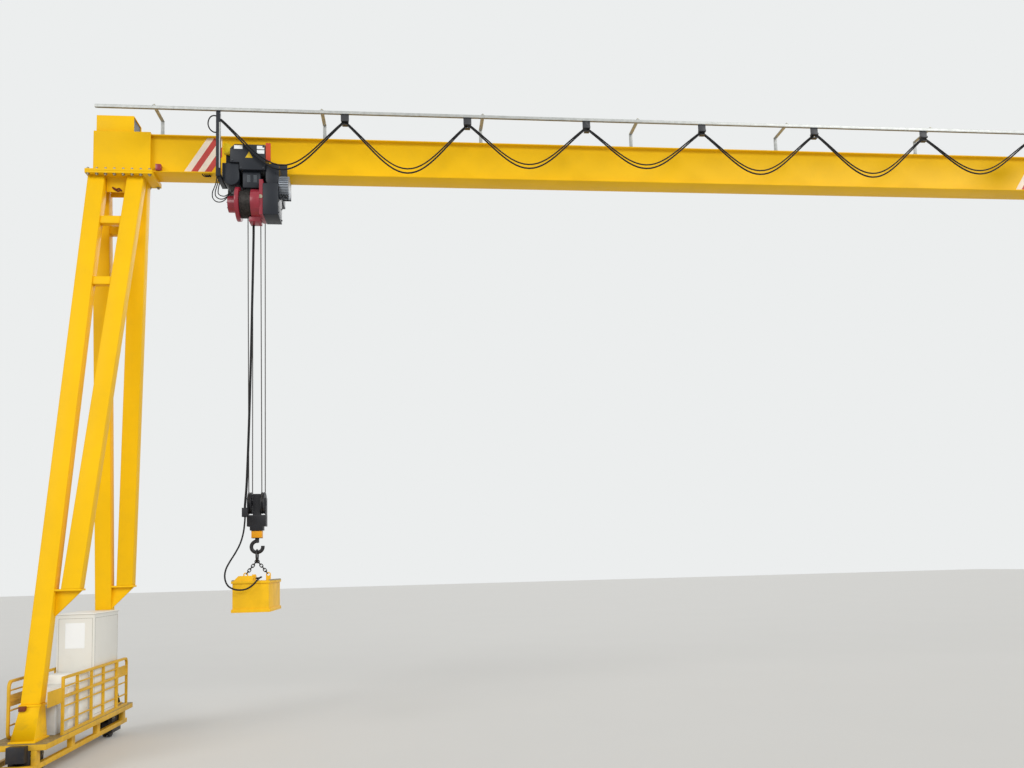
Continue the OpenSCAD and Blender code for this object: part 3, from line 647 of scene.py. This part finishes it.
def grown(name, tree, places, inputs, body):
    """Runs a tree on a cloud of points with axes and keeps the mesh that it makes."""
    mesh = bpy.data.meshes.new(name + "_places")
    mesh.from_pydata([p for p, _ in places], [], [])
    axes = mesh.attributes.new("axis", "FLOAT_VECTOR", "POINT")
    axes.data.foreach_set("vector", [c for _, a in places for c in a])
    source = bpy.data.objects.new(name + "_places", mesh)
    bpy.context.collection.objects.link(source)
    modifier = source.modifiers.new(tree.name, "NODES")
    modifier.node_group = tree
    for item in tree.interface.items_tree:
        if item.in_out == "INPUT" and item.name in inputs:
            modifier[item.identifier] = inputs[item.name]
    evaluated = source.evaluated_get(bpy.context.evaluated_depsgraph_get())
    result = bpy.data.meshes.new_from_object(evaluated)
    bpy.data.objects.remove(source)
    result.name = name
    piece = bpy.data.objects.new(name, result)
    bpy.context.collection.objects.link(piece)
    if not result.materials:
        result.materials.append(inputs["Finish"])
    result.set_sharp_from_angle(angle=SHARP)
    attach(piece, body)
    return piece


def bolts(name, places, across, body, material=None):
    """Hexagon bolts with washers; each place is a point on the plate and the way out of it."""
    return grown(
        name, bolt_tree(), places,
        {"Across flats": across, "Head height": across * 0.62, "Washer width": across * 1.75,
         "Washer thickness": across * 0.14, "Finish": material or zinc_bolt()},
        body,
    )


# --- Camera, lights and floor -------------------------------------------------


def turned_camera(yaw, pitch, roll):
    """The camera's own axes: right, up and back, from three angles in degrees."""
    yaw, pitch, roll = (math.radians(a) for a in (yaw, pitch, roll))
    base = Matrix(((1, 0, 0), (0, 0, -1), (0, 1, 0)))
    spin = Matrix(((math.cos(yaw), -math.sin(yaw), 0), (math.sin(yaw), math.cos(yaw), 0), (0, 0, 1)))
    tilt = Matrix(((1, 0, 0), (0, math.cos(pitch), math.sin(pitch)), (0, -math.sin(pitch), math.cos(pitch))))
    lean = Matrix(((math.cos(roll), -math.sin(roll), 0), (math.sin(roll), math.cos(roll), 0), (0, 0, 1)))
    rows = lean @ tilt @ base @ spin
    return Matrix((rows[0], -rows[1], -rows[2])).transposed()


class CRANE_OT_camera(bpy.types.Operator):
    """Sets the camera at eye height in front of the crane"""

    bl_idname = "crane.camera"
    bl_label = "Camera"

    def execute(self, context):
        data = bpy.data.cameras.new("eye_height_camera")
        data.sensor_width = 36
        data.lens = FOCAL_LENGTH / PICTURE_WIDTH * data.sensor_width
        data.shift_y = (CENTRE_ROW - PICTURE_HEIGHT / 2) / PICTURE_WIDTH
        data.clip_end = 200
        camera = bpy.data.objects.new("eye_height_camera", data)
        camera.matrix_world = Matrix.Translation(CAMERA_AT) @ turned_camera(YAW, PITCH_DOWN, ROLL).to_4x4()
        context.collection.objects.link(camera)
        context.scene.camera = camera
        return {"FINISHED"}


class CRANE_OT_stage(bpy.types.Operator):
    """Lays a pale floor and sets soft studio lamps"""

    bl_idname = "crane.stage"
    bl_label = "Stage"

    def execute(self, context):
        context.scene.view_settings.view_transform = "Standard"
        world = bpy.data.worlds.new("pale_studio")
        context.scene.world = world
        world.use_nodes = True
        tree = world.node_tree
        tree.nodes.clear()
        ray = add_node(tree, "ShaderNodeLightPath")
        seen = add_node(
            tree, "ShaderNodeMath", {"operation": "MAXIMUM"},
            {0: ray.outputs["Is Camera Ray"], 1: ray.outputs["Is Transmission Ray"]},
        )
        seen = add_node(
            tree, "ShaderNodeMath", {"operation": "MAXIMUM"}, {0: seen.outputs[0], 1: ray.outputs["Is Glossy Ray"]}
        )
        glow = add_node(tree, "ShaderNodeBackground", None, {"Color": (0.98, 0.99, 1, 1), "Strength": 0.42})
        pale = add_node(tree, "ShaderNodeBackground", None, {"Color": (*linear("#eceeee"), 1), "Strength": 1.0})
        both = add_node(
            tree, "ShaderNodeMixShader", None, {0: seen.outputs[0], 1: glow.outputs[0], 2: pale.outputs[0]}
        )
        add_node(tree, "ShaderNodeOutputWorld", None, {"Surface": both.outputs[0]})
        floor = make("floor", [block((-60, -60, -0.05), (70, 90, 0))], sealed_concrete(), None)
        for name, turn, power in LAMPS:
            data = bpy.data.lights.new(name, "SUN")
            data.energy = power
            data.angle = math.radians(28)
            lamp = bpy.data.objects.new(name, data)
            lamp.rotation_euler = [math.radians(a) for a in turn]
            context.collection.objects.link(lamp)
        return {"FINISHED"}


# --- Cords and ropes ----------------------------------------------------------


def cord_piece(name, points, diameter):
    """A rubber cord along a path, not yet on any body."""
    return make(name, [tube(points, diameter, sizes().sides)], cable_rubber(), None)


def festoon_points(number, depth, z):
    """One hanging loop from the middle of a clamp to the middle of the next.

    Neighbours lie side by side in three lanes, so that they pass each other when the carriers bunch up.
    """
    start = TOW_X + number * PITCH
    y = FESTOON_Y + ((number + 1) % 3 - 1) * CABLE_LANE
    free = PITCH - 2 * CLAMP_HALF
    steps = 26
    points = [(start + (POST_HALF if number == 0 else 0), y, z)]
    for j in range(steps + 1):
        t = j / steps
        drop = depth * (2.4 * t * (1 - t) + 0.4 * math.sin(math.pi * t) ** 2)
        points.append((start + CLAMP_HALF + t * free, y, z - drop))
    points.append((start + PITCH, y, z))
    if number == CARRIERS:
        points.append((start + PITCH + 0.2, y, z))
    return points


class CRANE_OT_festoon_cable(bpy.types.Operator):
    """Hangs the festoon's two cables in loops between the carriers"""

    bl_idname = "crane.festoon_cable"
    bl_label = "Festoon cable"

    def execute(self, context):
        hangers = ["trolley"] + [f"carrier_{i + 1}" for i in range(CARRIERS)]
        inner, outer = 0.016, 0.018
        # The outer cable hangs under the inner one, and a little deeper
        cables = (("inner", 0.94, CLAMP_Z - inner / 2, inner), ("outer", 1, CLAMP_Z - inner - outer / 2, outer))
        for cable, share, z, diameter in cables:
            for number in range(CARRIERS + 1):
                points = festoon_points(number, LOOP_DEPTHS[number] * share, z)
                piece = cord_piece(f"festoon_{cable}_loop_{number + 1}", points, diameter)
                if number < CARRIERS:
                    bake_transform(piece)
                else:
                    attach(piece, hangers[number])
                    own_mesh(piece)
                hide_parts("festoon_cable")
        return {"FINISHED"}


def power_points():
    """The supply cable's route, as X from the hook, Y and a share of the height between its ends."""
    low, high = 2.6, 5.745
    route = [(0.005, -0.272, 1), (0.005, -0.272, 0.994), (0.004, -0.27, 0.954), (-0.004, -0.264, 0.827),
             (-0.014, -0.254, 0.7), (-0.024, -0.242, 0.572), (-0.036, -0.228, 0.445), (-0.05, -0.212, 0.318),
             (-0.066, -0.194, 0.191), (-0.084, -0.172, 0.079), (-0.1, -0.154, 0.025), (-0.105, -0.15, 0.006),
             (-0.105, -0.15, 0)]
    return smooth_path([(HOOK_X + x, y, low + t * (high - low)) for x, y, t in route], 4)


def lead_points():
    """The lead's route: down from the block, then up and over to the socket on the magnet."""
    top = [(-0.105, -0.15, -0.16), (-0.105, -0.15, -0.175), (-0.108, -0.15, -0.22), (-0.12, -0.156, -0.33),
           (-0.148, -0.186, -0.45), (-0.192, -0.25, -0.56), (-0.232, -0.33, -0.65)]
    low = [(-0.256, -0.41, 0.122), (-0.256, -0.452, 0.037), (-0.226, -0.466, -0.037), (-0.17, -0.47, -0.077),
           (-0.1, -0.47, -0.091), (-0.03, -0.468, -0.081), (0.03, -0.464, -0.045), (0.072, -0.446, 0.003),
           (0.096, -0.404, 0.033), (0.102, -0.352, 0.039), (0.09, -0.306, 0.035), (0.066, -0.278, 0.029),
           (0.044, -0.27, 0.027), (0.03, -0.27, 0.027)]
    points = [(HOOK_X + x, y, SHEAVE_Z + z) for x, y, z in top]
    points += [(HOOK_X + x, y, MAGNET_TOP + z) for x, y, z in low]
    return smooth_path(points, 3)


class CRANE_OT_cables(bpy.types.Operator):
    """Runs the magnet's supply cable down to the block and on to the magnet"""

    bl_idname = "crane.cables"
    bl_label = "Supply cables"

    def execute(self, context):
        points = power_points()
        piece = cord_piece("supply_cable", points, 0.026)
        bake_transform(piece)
        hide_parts("power_cable")
        points = lead_points()
        piece = cord_piece("magnet_supply_lead", points, 0.018)
        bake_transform(piece)
        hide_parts("magnet_lead")
        return {"FINISHED"}


class CRANE_OT_ropes(bpy.types.Operator):
    """Stretches the four falls of wire rope between the hoist and the block"""

    bl_idname = "crane.ropes"
    bl_label = "Hoist ropes"

    def execute(self, context):
        # The near falls leave the drum's back, and the far ones hang from the end beam
        low = SHEAVE_Z + 0.0003
        drum_back = -DRUM_Y - DRUM_RADIUS - ROPE / 2 - 0.0004
        steps = 40
        falls = (("near", -ROPE_Y, -drum_back, DRUM_Z), ("far", ROPE_Y, ROPE_Y, 6.2147))
        for side, foot, top_y, top_z in falls:
            for x, place in zip(FALLS_X, ("left", "right")):
                points = [(x, foot + (top_y - foot) * i / steps, low + (top_z - low) * i / steps)
                          for i in range(steps + 1)]
                rope = make(f"rope_{side}_{place}", [tube(points, ROPE, 8)], wire_rope(), None)
                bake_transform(rope)
                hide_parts("hoist_ropes")
        return {"FINISHED"}


# --- Steelwork ----------------------------------------------------------------


def clipped(x, width, lean, low, high, end_x):
    """Outline of one slanted stripe, cut off at an upright edge."""
    rise = (high - low) / lean
    outline = [(x, low), (x + width, low)]
    if x + width + lean > end_x:
        outline.append((end_x, low + (end_x - x - width) * rise))
    if x + lean > end_x:
        outline.append((end_x, low + (end_x - x) * rise))
    elif x + width + lean > end_x:
        outline += [(end_x, high), (x + lean, high)]
    else:
        outline += [(x + width + lean, high), (x + lean, high)]
    return outline


def stripe_band(name, first_x, end_x, count, y):
    """Slanted stripes on the girder's web, white and red in turn, that stop at an upright edge."""
    low, high, lean, width = 6.415, 6.825, 0.26, 0.075
    for number in range(count):
        paint = stripe_paint("white" if number % 2 == 0 else "red")
        outline = clipped(first_x + number * width, width, lean, low, high, end_x)
        make(f"{name}_{number + 1}", [slab(outline, "y", y, y + FILM)], paint, "crane")


class CRANE_OT_girder(bpy.types.Operator):
    """Paints the girder, its head and its hazard stripes"""

    bl_idname = "crane.girder"
    bl_label = "Girder"

    def execute(self, context):
        edge = sizes().edge
        for node in ("main_girder", "leg_head", "top_box", "leg_plate"):
            dress(node, edge)
        for side, y in (("front", -WEB_FACE - FILM - 0.0002), ("back", WEB_FACE + 0.0002)):
            stripe_band(f"stripe_left_{side}", 1.12, 1.545, 4, y)
            stripe_band(f"stripe_right_{side}", 11.22, 12.0, 4, y)
        first, row = 0.115, 0.66
        count = int(row / sizes().bolt_pitch) + 1
        places = []
        for i in range(count):
            x = first + i * row / (count - 1)
            for y in (-0.178, 0.178):
                places.append(((x, y, GIRDER_LOW), (0, 0, 1)))
                places.append(((x, y, HEAD_PLATE_LOW), (0, 0, -1)))
        bolts("head_plate_bolts", places, sizes().head_bolt, "crane")
        # Fillet welds that run where the webs meet the lower flange
        for side, y in (("front", -WEB_FACE), ("back", WEB_FACE)):
            weld = tube([(0.8, y, 6.414), (12.6, y, 6.414)], 0.012, 8)
            make(f"web_weld_{side}", [weld], crane_enamel(), "crane")
        runs = (
            [(0.35, -0.08, 6.235), (0.38, -0.082, 6.205), (0.42, -0.081, 6.22), (0.45, -0.08, 6.19)],
            [(0.37, -0.08, 6.225), (0.4, -0.082, 6.192), (0.43, -0.08, 6.197)],
        )
        marks = [tube(smooth_path(path, 3), 0.018, 8) for path in runs]
        make("plate_marks", marks, red_oxide_primer(), "crane")
        # Ends of three cable ties that hang out under the girder
        bits = [
            [(1.33 + 0.02 * k, -0.11 + 0.02 * k, 6.398), (1.345 + 0.03 * k, -0.112, 6.375),
             (1.38 + 0.02 * k, -0.1, 6.372), (1.41, -0.09 + 0.02 * k, 6.398)]
            for k in range(3)
        ]
        ties = [tube(smooth_path(path, 3), 0.012, 8) for path in bits]
        make("cable_ties", ties, cable_rubber(), "crane")
        # Painted shade: a dark slate sheet inside the top box's open right side
        shade_sheet = [block((0.575, -0.131, 6.866), (0.579, 0.131, 7.038))]
        make("top_box_lining", shade_sheet, slate_primer(), "crane")
        return {"FINISHED"}


class CRANE_OT_legs(bpy.types.Operator):
    """Paints the legs with their rungs, knees and feet"""

    bl_idname = "crane.legs"
    bl_label = "Legs"

    def execute(self, context):
        for node in ("leg_near_outer", "leg_near_inner", "leg_far_outer", "leg_far_inner"):
            dress(node, sizes().edge * 2)
        for node in ("rungs", "knees", "feet"):
            dress(node, sizes().edge)
        # Limit switch on the near foot's sloping front, just under its top flange
        switch = [block((-0.085, -1.142, 0.645), (-0.025, -1.09, 0.69))]
        make("limit_switch", switch, brown_enamel(), "crane", edge=0.004)
        return {"FINISHED"}


class CRANE_OT_base(bpy.types.Operator):
    """Paints the deck, the low frame, the guard rails and the wheel blocks"""

    bl_idname = "crane.base"
    bl_label = "Deck and truck"

    def execute(self, context):
        # The frames near the floor take the darker enamel, whose dark base colour is painted shade
        for node in ("deck_frame", "bumper_frame", "guard_right", "guard_left"):
            dress(node, sizes().edge, soiled_enamel())
        dress("wheel_blocks", sizes().edge)
        dress("deck_plate", 0.0008)
        for node in ("ground_wheel_near", "ground_wheel_far"):
            dress(node, 0.002)
        pitch = 0.045
        studs = [((-0.28 + pitch * i, -1.28 + pitch * j, 0.3705), (0, 0, 1)) for i in range(12) for j in range(58)]
        given = {"Stud length": 0.026, "Stud width": 0.006, "Stud height": 0.003, "Finish": deck_steel()}
        grown("tread_studs_plate", stud_tree(), studs, given, "crane")
        places = []
        for side in (-1, 1):
            for y in (1.02, 1.28):
                for z in (0.24, 0.285):
                    for x in (-1, 1):
                        places.append(((x * 0.095, side * y, z), (x, 0, 0)))
        bolts("wheel_block_bolts", places, 0.019, "crane")
        return {"FINISHED"}


# --- Cabinets, festoon rail and wall truck ------------------------------------


def door_gaps(left, right, low, top, gap):
    """The four strips round a door, each as two corners in the door's plane."""
    return (
        (left, low, left + gap, top), (right - gap, low, right, top),
        (left, low, right, low + gap), (left, top - gap, right, top),
    )


class CRANE_OT_cabinets(bpy.types.Operator):
    """Finishes the electrical cabinets on the deck"""

    bl_idname = "crane.cabinets"
    bl_label = "Cabinets"

    def execute(self, context):
        for node in ("control_cabinet", "low_cabinets", "upright_box"):
            dress(node, 0.004)
        low, high = box_of("control_cabinet")
        # The lid stands out over the walls as far as it is thick, and the doors stop short of the corners
        lid, rim, door_low, gap = 0.012, 0.02, 0.42, 0.003
        left, right = low.x + lid, high.x - lid
        near, far = low.y + lid, high.y - lid
        top = high.z - lid - 0.04
        # Painted shade strips in the door gaps on the front and on the side toward the hall
        shapes = [
            block((x0, near - 0.0012, z0), (x1, near + 0.001, z1))
            for x0, z0, x1, z1 in door_gaps(left + rim, right - rim, door_low, top, gap)
        ]
        shapes += [
            block((right - 0.001, y0, z0), (right + 0.0012, y1, z1))
            for y0, z0, y1, z1 in door_gaps(near + rim, far - rim, door_low, top, gap)
        ]
        make("cabinet_door_gaps", shapes, door_seal_rubber(), "crane")
        notice = [block((-0.095, near - 0.0025, 1.13), (0.105, near - 0.0006, 1.4))]
        make("blank_notice", notice, white_sheet(), "crane")
        return {"FINISHED"}


class CRANE_OT_festoon(bpy.types.Operator):
    """Finishes the festoon's rail, straps, carriers, end box and tow arm"""

    bl_idname = "crane.festoon"
    bl_label = "Festoon rail"

    def execute(self, context):
        dress("festoon_rail", 0.0006)
        dress("festoon_brackets", 0.001)
        dress("tow_arm", 0.001, slate_coat())
        # Painted highlight: a pale galvanised strip down the dark tow post's right edge, where light catches it
        post_highlight = [block((1.594, -0.5035, 6.3), (1.6062, -0.5015, 6.82))]
        make("tow_post_edge", post_highlight, galvanised_steel(), "trolley")
        dress("festoon_box", 0.003)
        for i in range(CARRIERS):
            node = f"carrier_{i + 1}"
            dress(node, 0.001)
            low, high = box_of(node)
            x = (low.x + high.x) / 2
            clamp = block((x - CLAMP_HALF, FESTOON_Y - 0.028, CLAMP_Z - 0.04),
                          (x + CLAMP_HALF, FESTOON_Y + 0.028, CLAMP_Z - 0.034))
            make(f"cable_clamp_{i + 1}", [clamp], nylon(), node, edge=0.001)
        places = []
        for i in range(STRAPS):
            x = FIRST_STRAP_X + i * STRAP_PITCH
            for y in (-0.05, -0.1):
                places.append(((x, y, 6.848), (0, 0, 1)))
            places.append(((x, FESTOON_Y, 7.0), (0, 0, 1)))
        bolts("strap_bolts", places, 0.017, "crane")
        return {"FINISHED"}


class CRANE_OT_wall_truck(bpy.types.Operator):
    """Finishes the truck that runs on the wall"""

    bl_idname = "crane.wall_truck"
    bl_label = "Wall truck"

    def execute(self, context):
        dress("wall_truck", sizes().edge)
        dress("wall_buffers", 0.006)
        dress("trolley_stops", 0.002)
        for node in ("wall_wheel_near", "wall_wheel_far"):
            dress(node, 0.002)
        places = []
        for side in (-1, 1):
            for dy in (-0.11, 0.11):
                for z in (6.215, 6.36):
                    places.append(((12.3, side + dy, z), (-1, 0, 0)))
        bolts("wall_truck_bolts", places, 0.024, "crane")
        return {"FINISHED"}


# --- Hoist --------------------------------------------------------------------


def hose_points(number):
    """One of three hoses that hang in a loop from the tow arm to the left travel drive."""
    n, shift = number, 0.03 * number
    route = [(1.568 + 0.016 * n, -0.482, 6.21), (1.564 + 0.018 * n, -0.484, 6.15),
             (1.545 + 0.022 * n, -0.482, 6.09), (1.522 + shift, -0.476, 6.03 + 0.01 * n),
             (1.523 + shift, -0.464, 5.972 + 0.024 * n), (1.56 + shift * 0.8, -0.448, 5.938 + 0.034 * n),
             (1.612 + shift * 0.5, -0.43, 5.946 + 0.032 * n), (1.655 + shift * 0.3, -0.415, 5.988 + 0.024 * n),
             (1.682 + 0.014 * n, -0.405, 6.045 + 0.012 * n), (1.692 + 0.02 * n, -0.402, 6.1),
             (1.692 + 0.022 * n, -0.402, 6.1405)]
    return smooth_path(route, 3)


class CRANE_OT_hoses(bpy.types.Operator):
    """Hangs the small hose loops beside the hoist"""

    bl_idname = "crane.hoses"
    bl_label = "Control hoses"

    def execute(self, context):
        for number in range(3):
            points = hose_points(number)
            piece = cord_piece(f"control_hose_{number + 1}", points, 0.011)
            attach(piece, "trolley")
        route = [(1.5605, 6.9), (1.532, 6.904), (1.5, 6.89), (1.478, 6.852), (1.472, 6.806), (1.484, 6.762),
                 (1.508, 6.73), (1.536, 6.714), (1.5605, 6.712)]
        points = smooth_path([(x, FESTOON_Y, z) for x, z in route], 3)
        piece = cord_piece("tow_post_loop", points, 0.014)
        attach(piece, "trolley")
        return {"FINISHED"}


class CRANE_OT_hoist(bpy.types.Operator):
    """Finishes the trolley and the hoist that hangs on it"""

    bl_idname = "crane.hoist"
    bl_label = "Hoist"

    def execute(self, context):
        for node in ("trolley_frame", "gearbox", "control_box", "hoist_housing", "traverse_drives", "counterweight"):
            dress(node, 0.005)
        for node in ("rope_guide", "trolley_wheels"):
            dress(node, 0.002)
        dress("drum", 0.0)
        dress("hoist_motor", 0.001)
        # Films on the front, sunk 1 mm into it
        out, into = HOIST_FRONT - 0.0015, HOIST_FRONT + FILM
        corners = (((1.745, 6.545), (1.835, 6.585)), ((1.99, 6.545), (2.07, 6.585)), ((1.99, 6.495), (2.07, 6.535)))
        plates = [block((x0, out, z0), (x1, into, z1)) for (x0, z0), (x1, z1) in corners]
        make("blank_plates", plates, white_sheet(), "trolley")
        centre, low, size = 1.905, 6.445, 0.08
        triangle = [(centre - size / 2, low), (centre + size / 2, low), (centre, low + size * 0.87)]
        make("warning_triangle", [slab(triangle, "y", out, into)], yellow_film(), "trolley")
        strip = [block((2.082, -0.44, 6.42), (2.135, -0.415, 6.625))]
        make("side_strip", strip, signal_enamel(), "trolley", edge=0.003)
        vents = []
        for x in (1.895, 1.965):
            for i in range(7):
                z = 6.185 + i * 0.012
                vents.append(block((x - 0.018, -0.4125, z), (x + 0.018, -0.409, z + 0.005)))
        make("vent_slats", vents, vent_coat(), "trolley")
        places = []
        for x, z in ((1.725, 6.415), (1.725, 6.56), (2.06, 6.33), (2.06, 6.575), (1.82, 6.33)):
            places.append(((x, HOIST_FRONT, z), (0, -1, 0)))
        for angle in range(0, 360, 60):
            dy, dz = 0.06 * math.cos(math.radians(angle)), 0.06 * math.sin(math.radians(angle))
            places.append(((1.67, DRUM_Y + dy, DRUM_Z + dz), (-1, 0, 0)))
        for y in (-0.47, -0.23):
            for z in (5.82, 5.95, 6.1):
                places.append(((2.225, y, z), (1, 0, 0)))
        for x in (-0.3, -0.1, 0.1, 0.3):
            places.append(((HOOK_X + x, 0.168, 6.48), (0, 1, 0)))
        bolts("hoist_screws", places, sizes().small_bolt, "trolley", dark_bolt())
        outline = [(1.62, 6.52), (1.7, 6.5), (1.72, 6.56), (1.7, 6.61), (1.655, 6.64), (1.62, 6.62)]
        cover = [slab(outline, "y", -0.4, -0.34)]
        make("rope_end_cover", cover, yellow_nylon(), "trolley", edge=0.006)
        arm = [block((1.64, -0.36, 6.4), (1.69, -0.17, 6.53))]
        make("cover_arm", arm, slate_coat(), "trolley", edge=0.004)
        paths = (
            [(2.275, -0.408, 6.06), (2.28, -0.44, 6.028), (2.31, -0.455, 6.0), (2.325, -0.45, 5.975),
             (2.3, -0.445, 5.965), (2.27, -0.45, 5.985)],
            [(2.25, -0.41, 6.06), (2.262, -0.44, 6.015), (2.315, -0.45, 5.99), (2.325, -0.445, 6.01),
             (2.3, -0.408, 6.06)],
        )
        lead = [tube(smooth_path(path, 3), 0.01, 8) for path in paths]
        make("motor_lead", lead, cable_rubber(), "trolley")
        pin = [tube([(2.035, -0.495, 5.99), (2.035, -0.47, 5.99)], 0.044, 24)]
        make("guide_pin", pin, zinc_bolt(), "trolley")
        return {"FINISHED"}


class CRANE_OT_hook(bpy.types.Operator):
    """Finishes the block, the hook, the chains and the lifting magnet"""

    bl_idname = "crane.hook"
    bl_label = "Hook and magnet"

    def execute(self, context):
        dress("hook_block", 0.0015)
        dress("hook", 0.0)
        dress("chain_sling", 0.0)
        dress("magnet", 0.004)
        block_low = SHEAVE_Z - 0.39
        cover = [block((HOOK_X - 0.056, -0.046, block_low + 0.004), (HOOK_X + 0.056, 0.046, block_low + 0.08))]
        make("swivel_cover", cover, orange_enamel(), "hook_block", edge=0.003)
        places = []
        for side in (-1, 1):
            for i in range(9):
                y = -0.36 + 0.09 * i
                places.append(((HOOK_X + side * 0.194, y, MAGNET_TOP), (0, 0, 1)))
        bolts("magnet_bolts", places, 0.018, "hook")
        return {"FINISHED"}


# --- Add-on -------------------------------------------------------------------


class CRANE_PT_panel(bpy.types.Panel):
    """Lists the crane's pieces and sizes"""

    bl_label = "Crane"
    bl_space_type = "VIEW_3D"
    bl_region_type = "UI"
    bl_category = "Crane"

    def draw(self, context):
        for name in STEPS:
            self.layout.operator("crane." + name)
        for group in (context.scene.crane_paints, context.scene.crane_sizes):
            for key in group.__annotations__:
                self.layout.prop(group, key)


STEPS = ("camera", "festoon_cable", "cables", "hoses", "ropes", "girder", "legs", "base", "cabinets", "festoon",
         "wall_truck", "hoist", "hook", "stage")

CLASSES = (
    CranePaints, CraneSizes, CRANE_OT_camera, CRANE_OT_festoon_cable, CRANE_OT_cables, CRANE_OT_hoses,
    CRANE_OT_ropes, CRANE_OT_girder, CRANE_OT_legs, CRANE_OT_base, CRANE_OT_cabinets, CRANE_OT_festoon,
    CRANE_OT_wall_truck, CRANE_OT_hoist, CRANE_OT_hook, CRANE_OT_stage, CRANE_PT_panel,
)


def register():
    for item in CLASSES:
        bpy.utils.register_class(item)
    bpy.types.Scene.crane_paints = PointerProperty(type=CranePaints)
    bpy.types.Scene.crane_sizes = PointerProperty(type=CraneSizes)


def unregister():
    del bpy.types.Scene.crane_paints
    del bpy.types.Scene.crane_sizes
    for item in reversed(CLASSES):
        bpy.utils.unregister_class(item)


def main():
    register()
    for name in STEPS:
        getattr(bpy.ops.crane, name)()


if __name__ == "__main__":
    main()
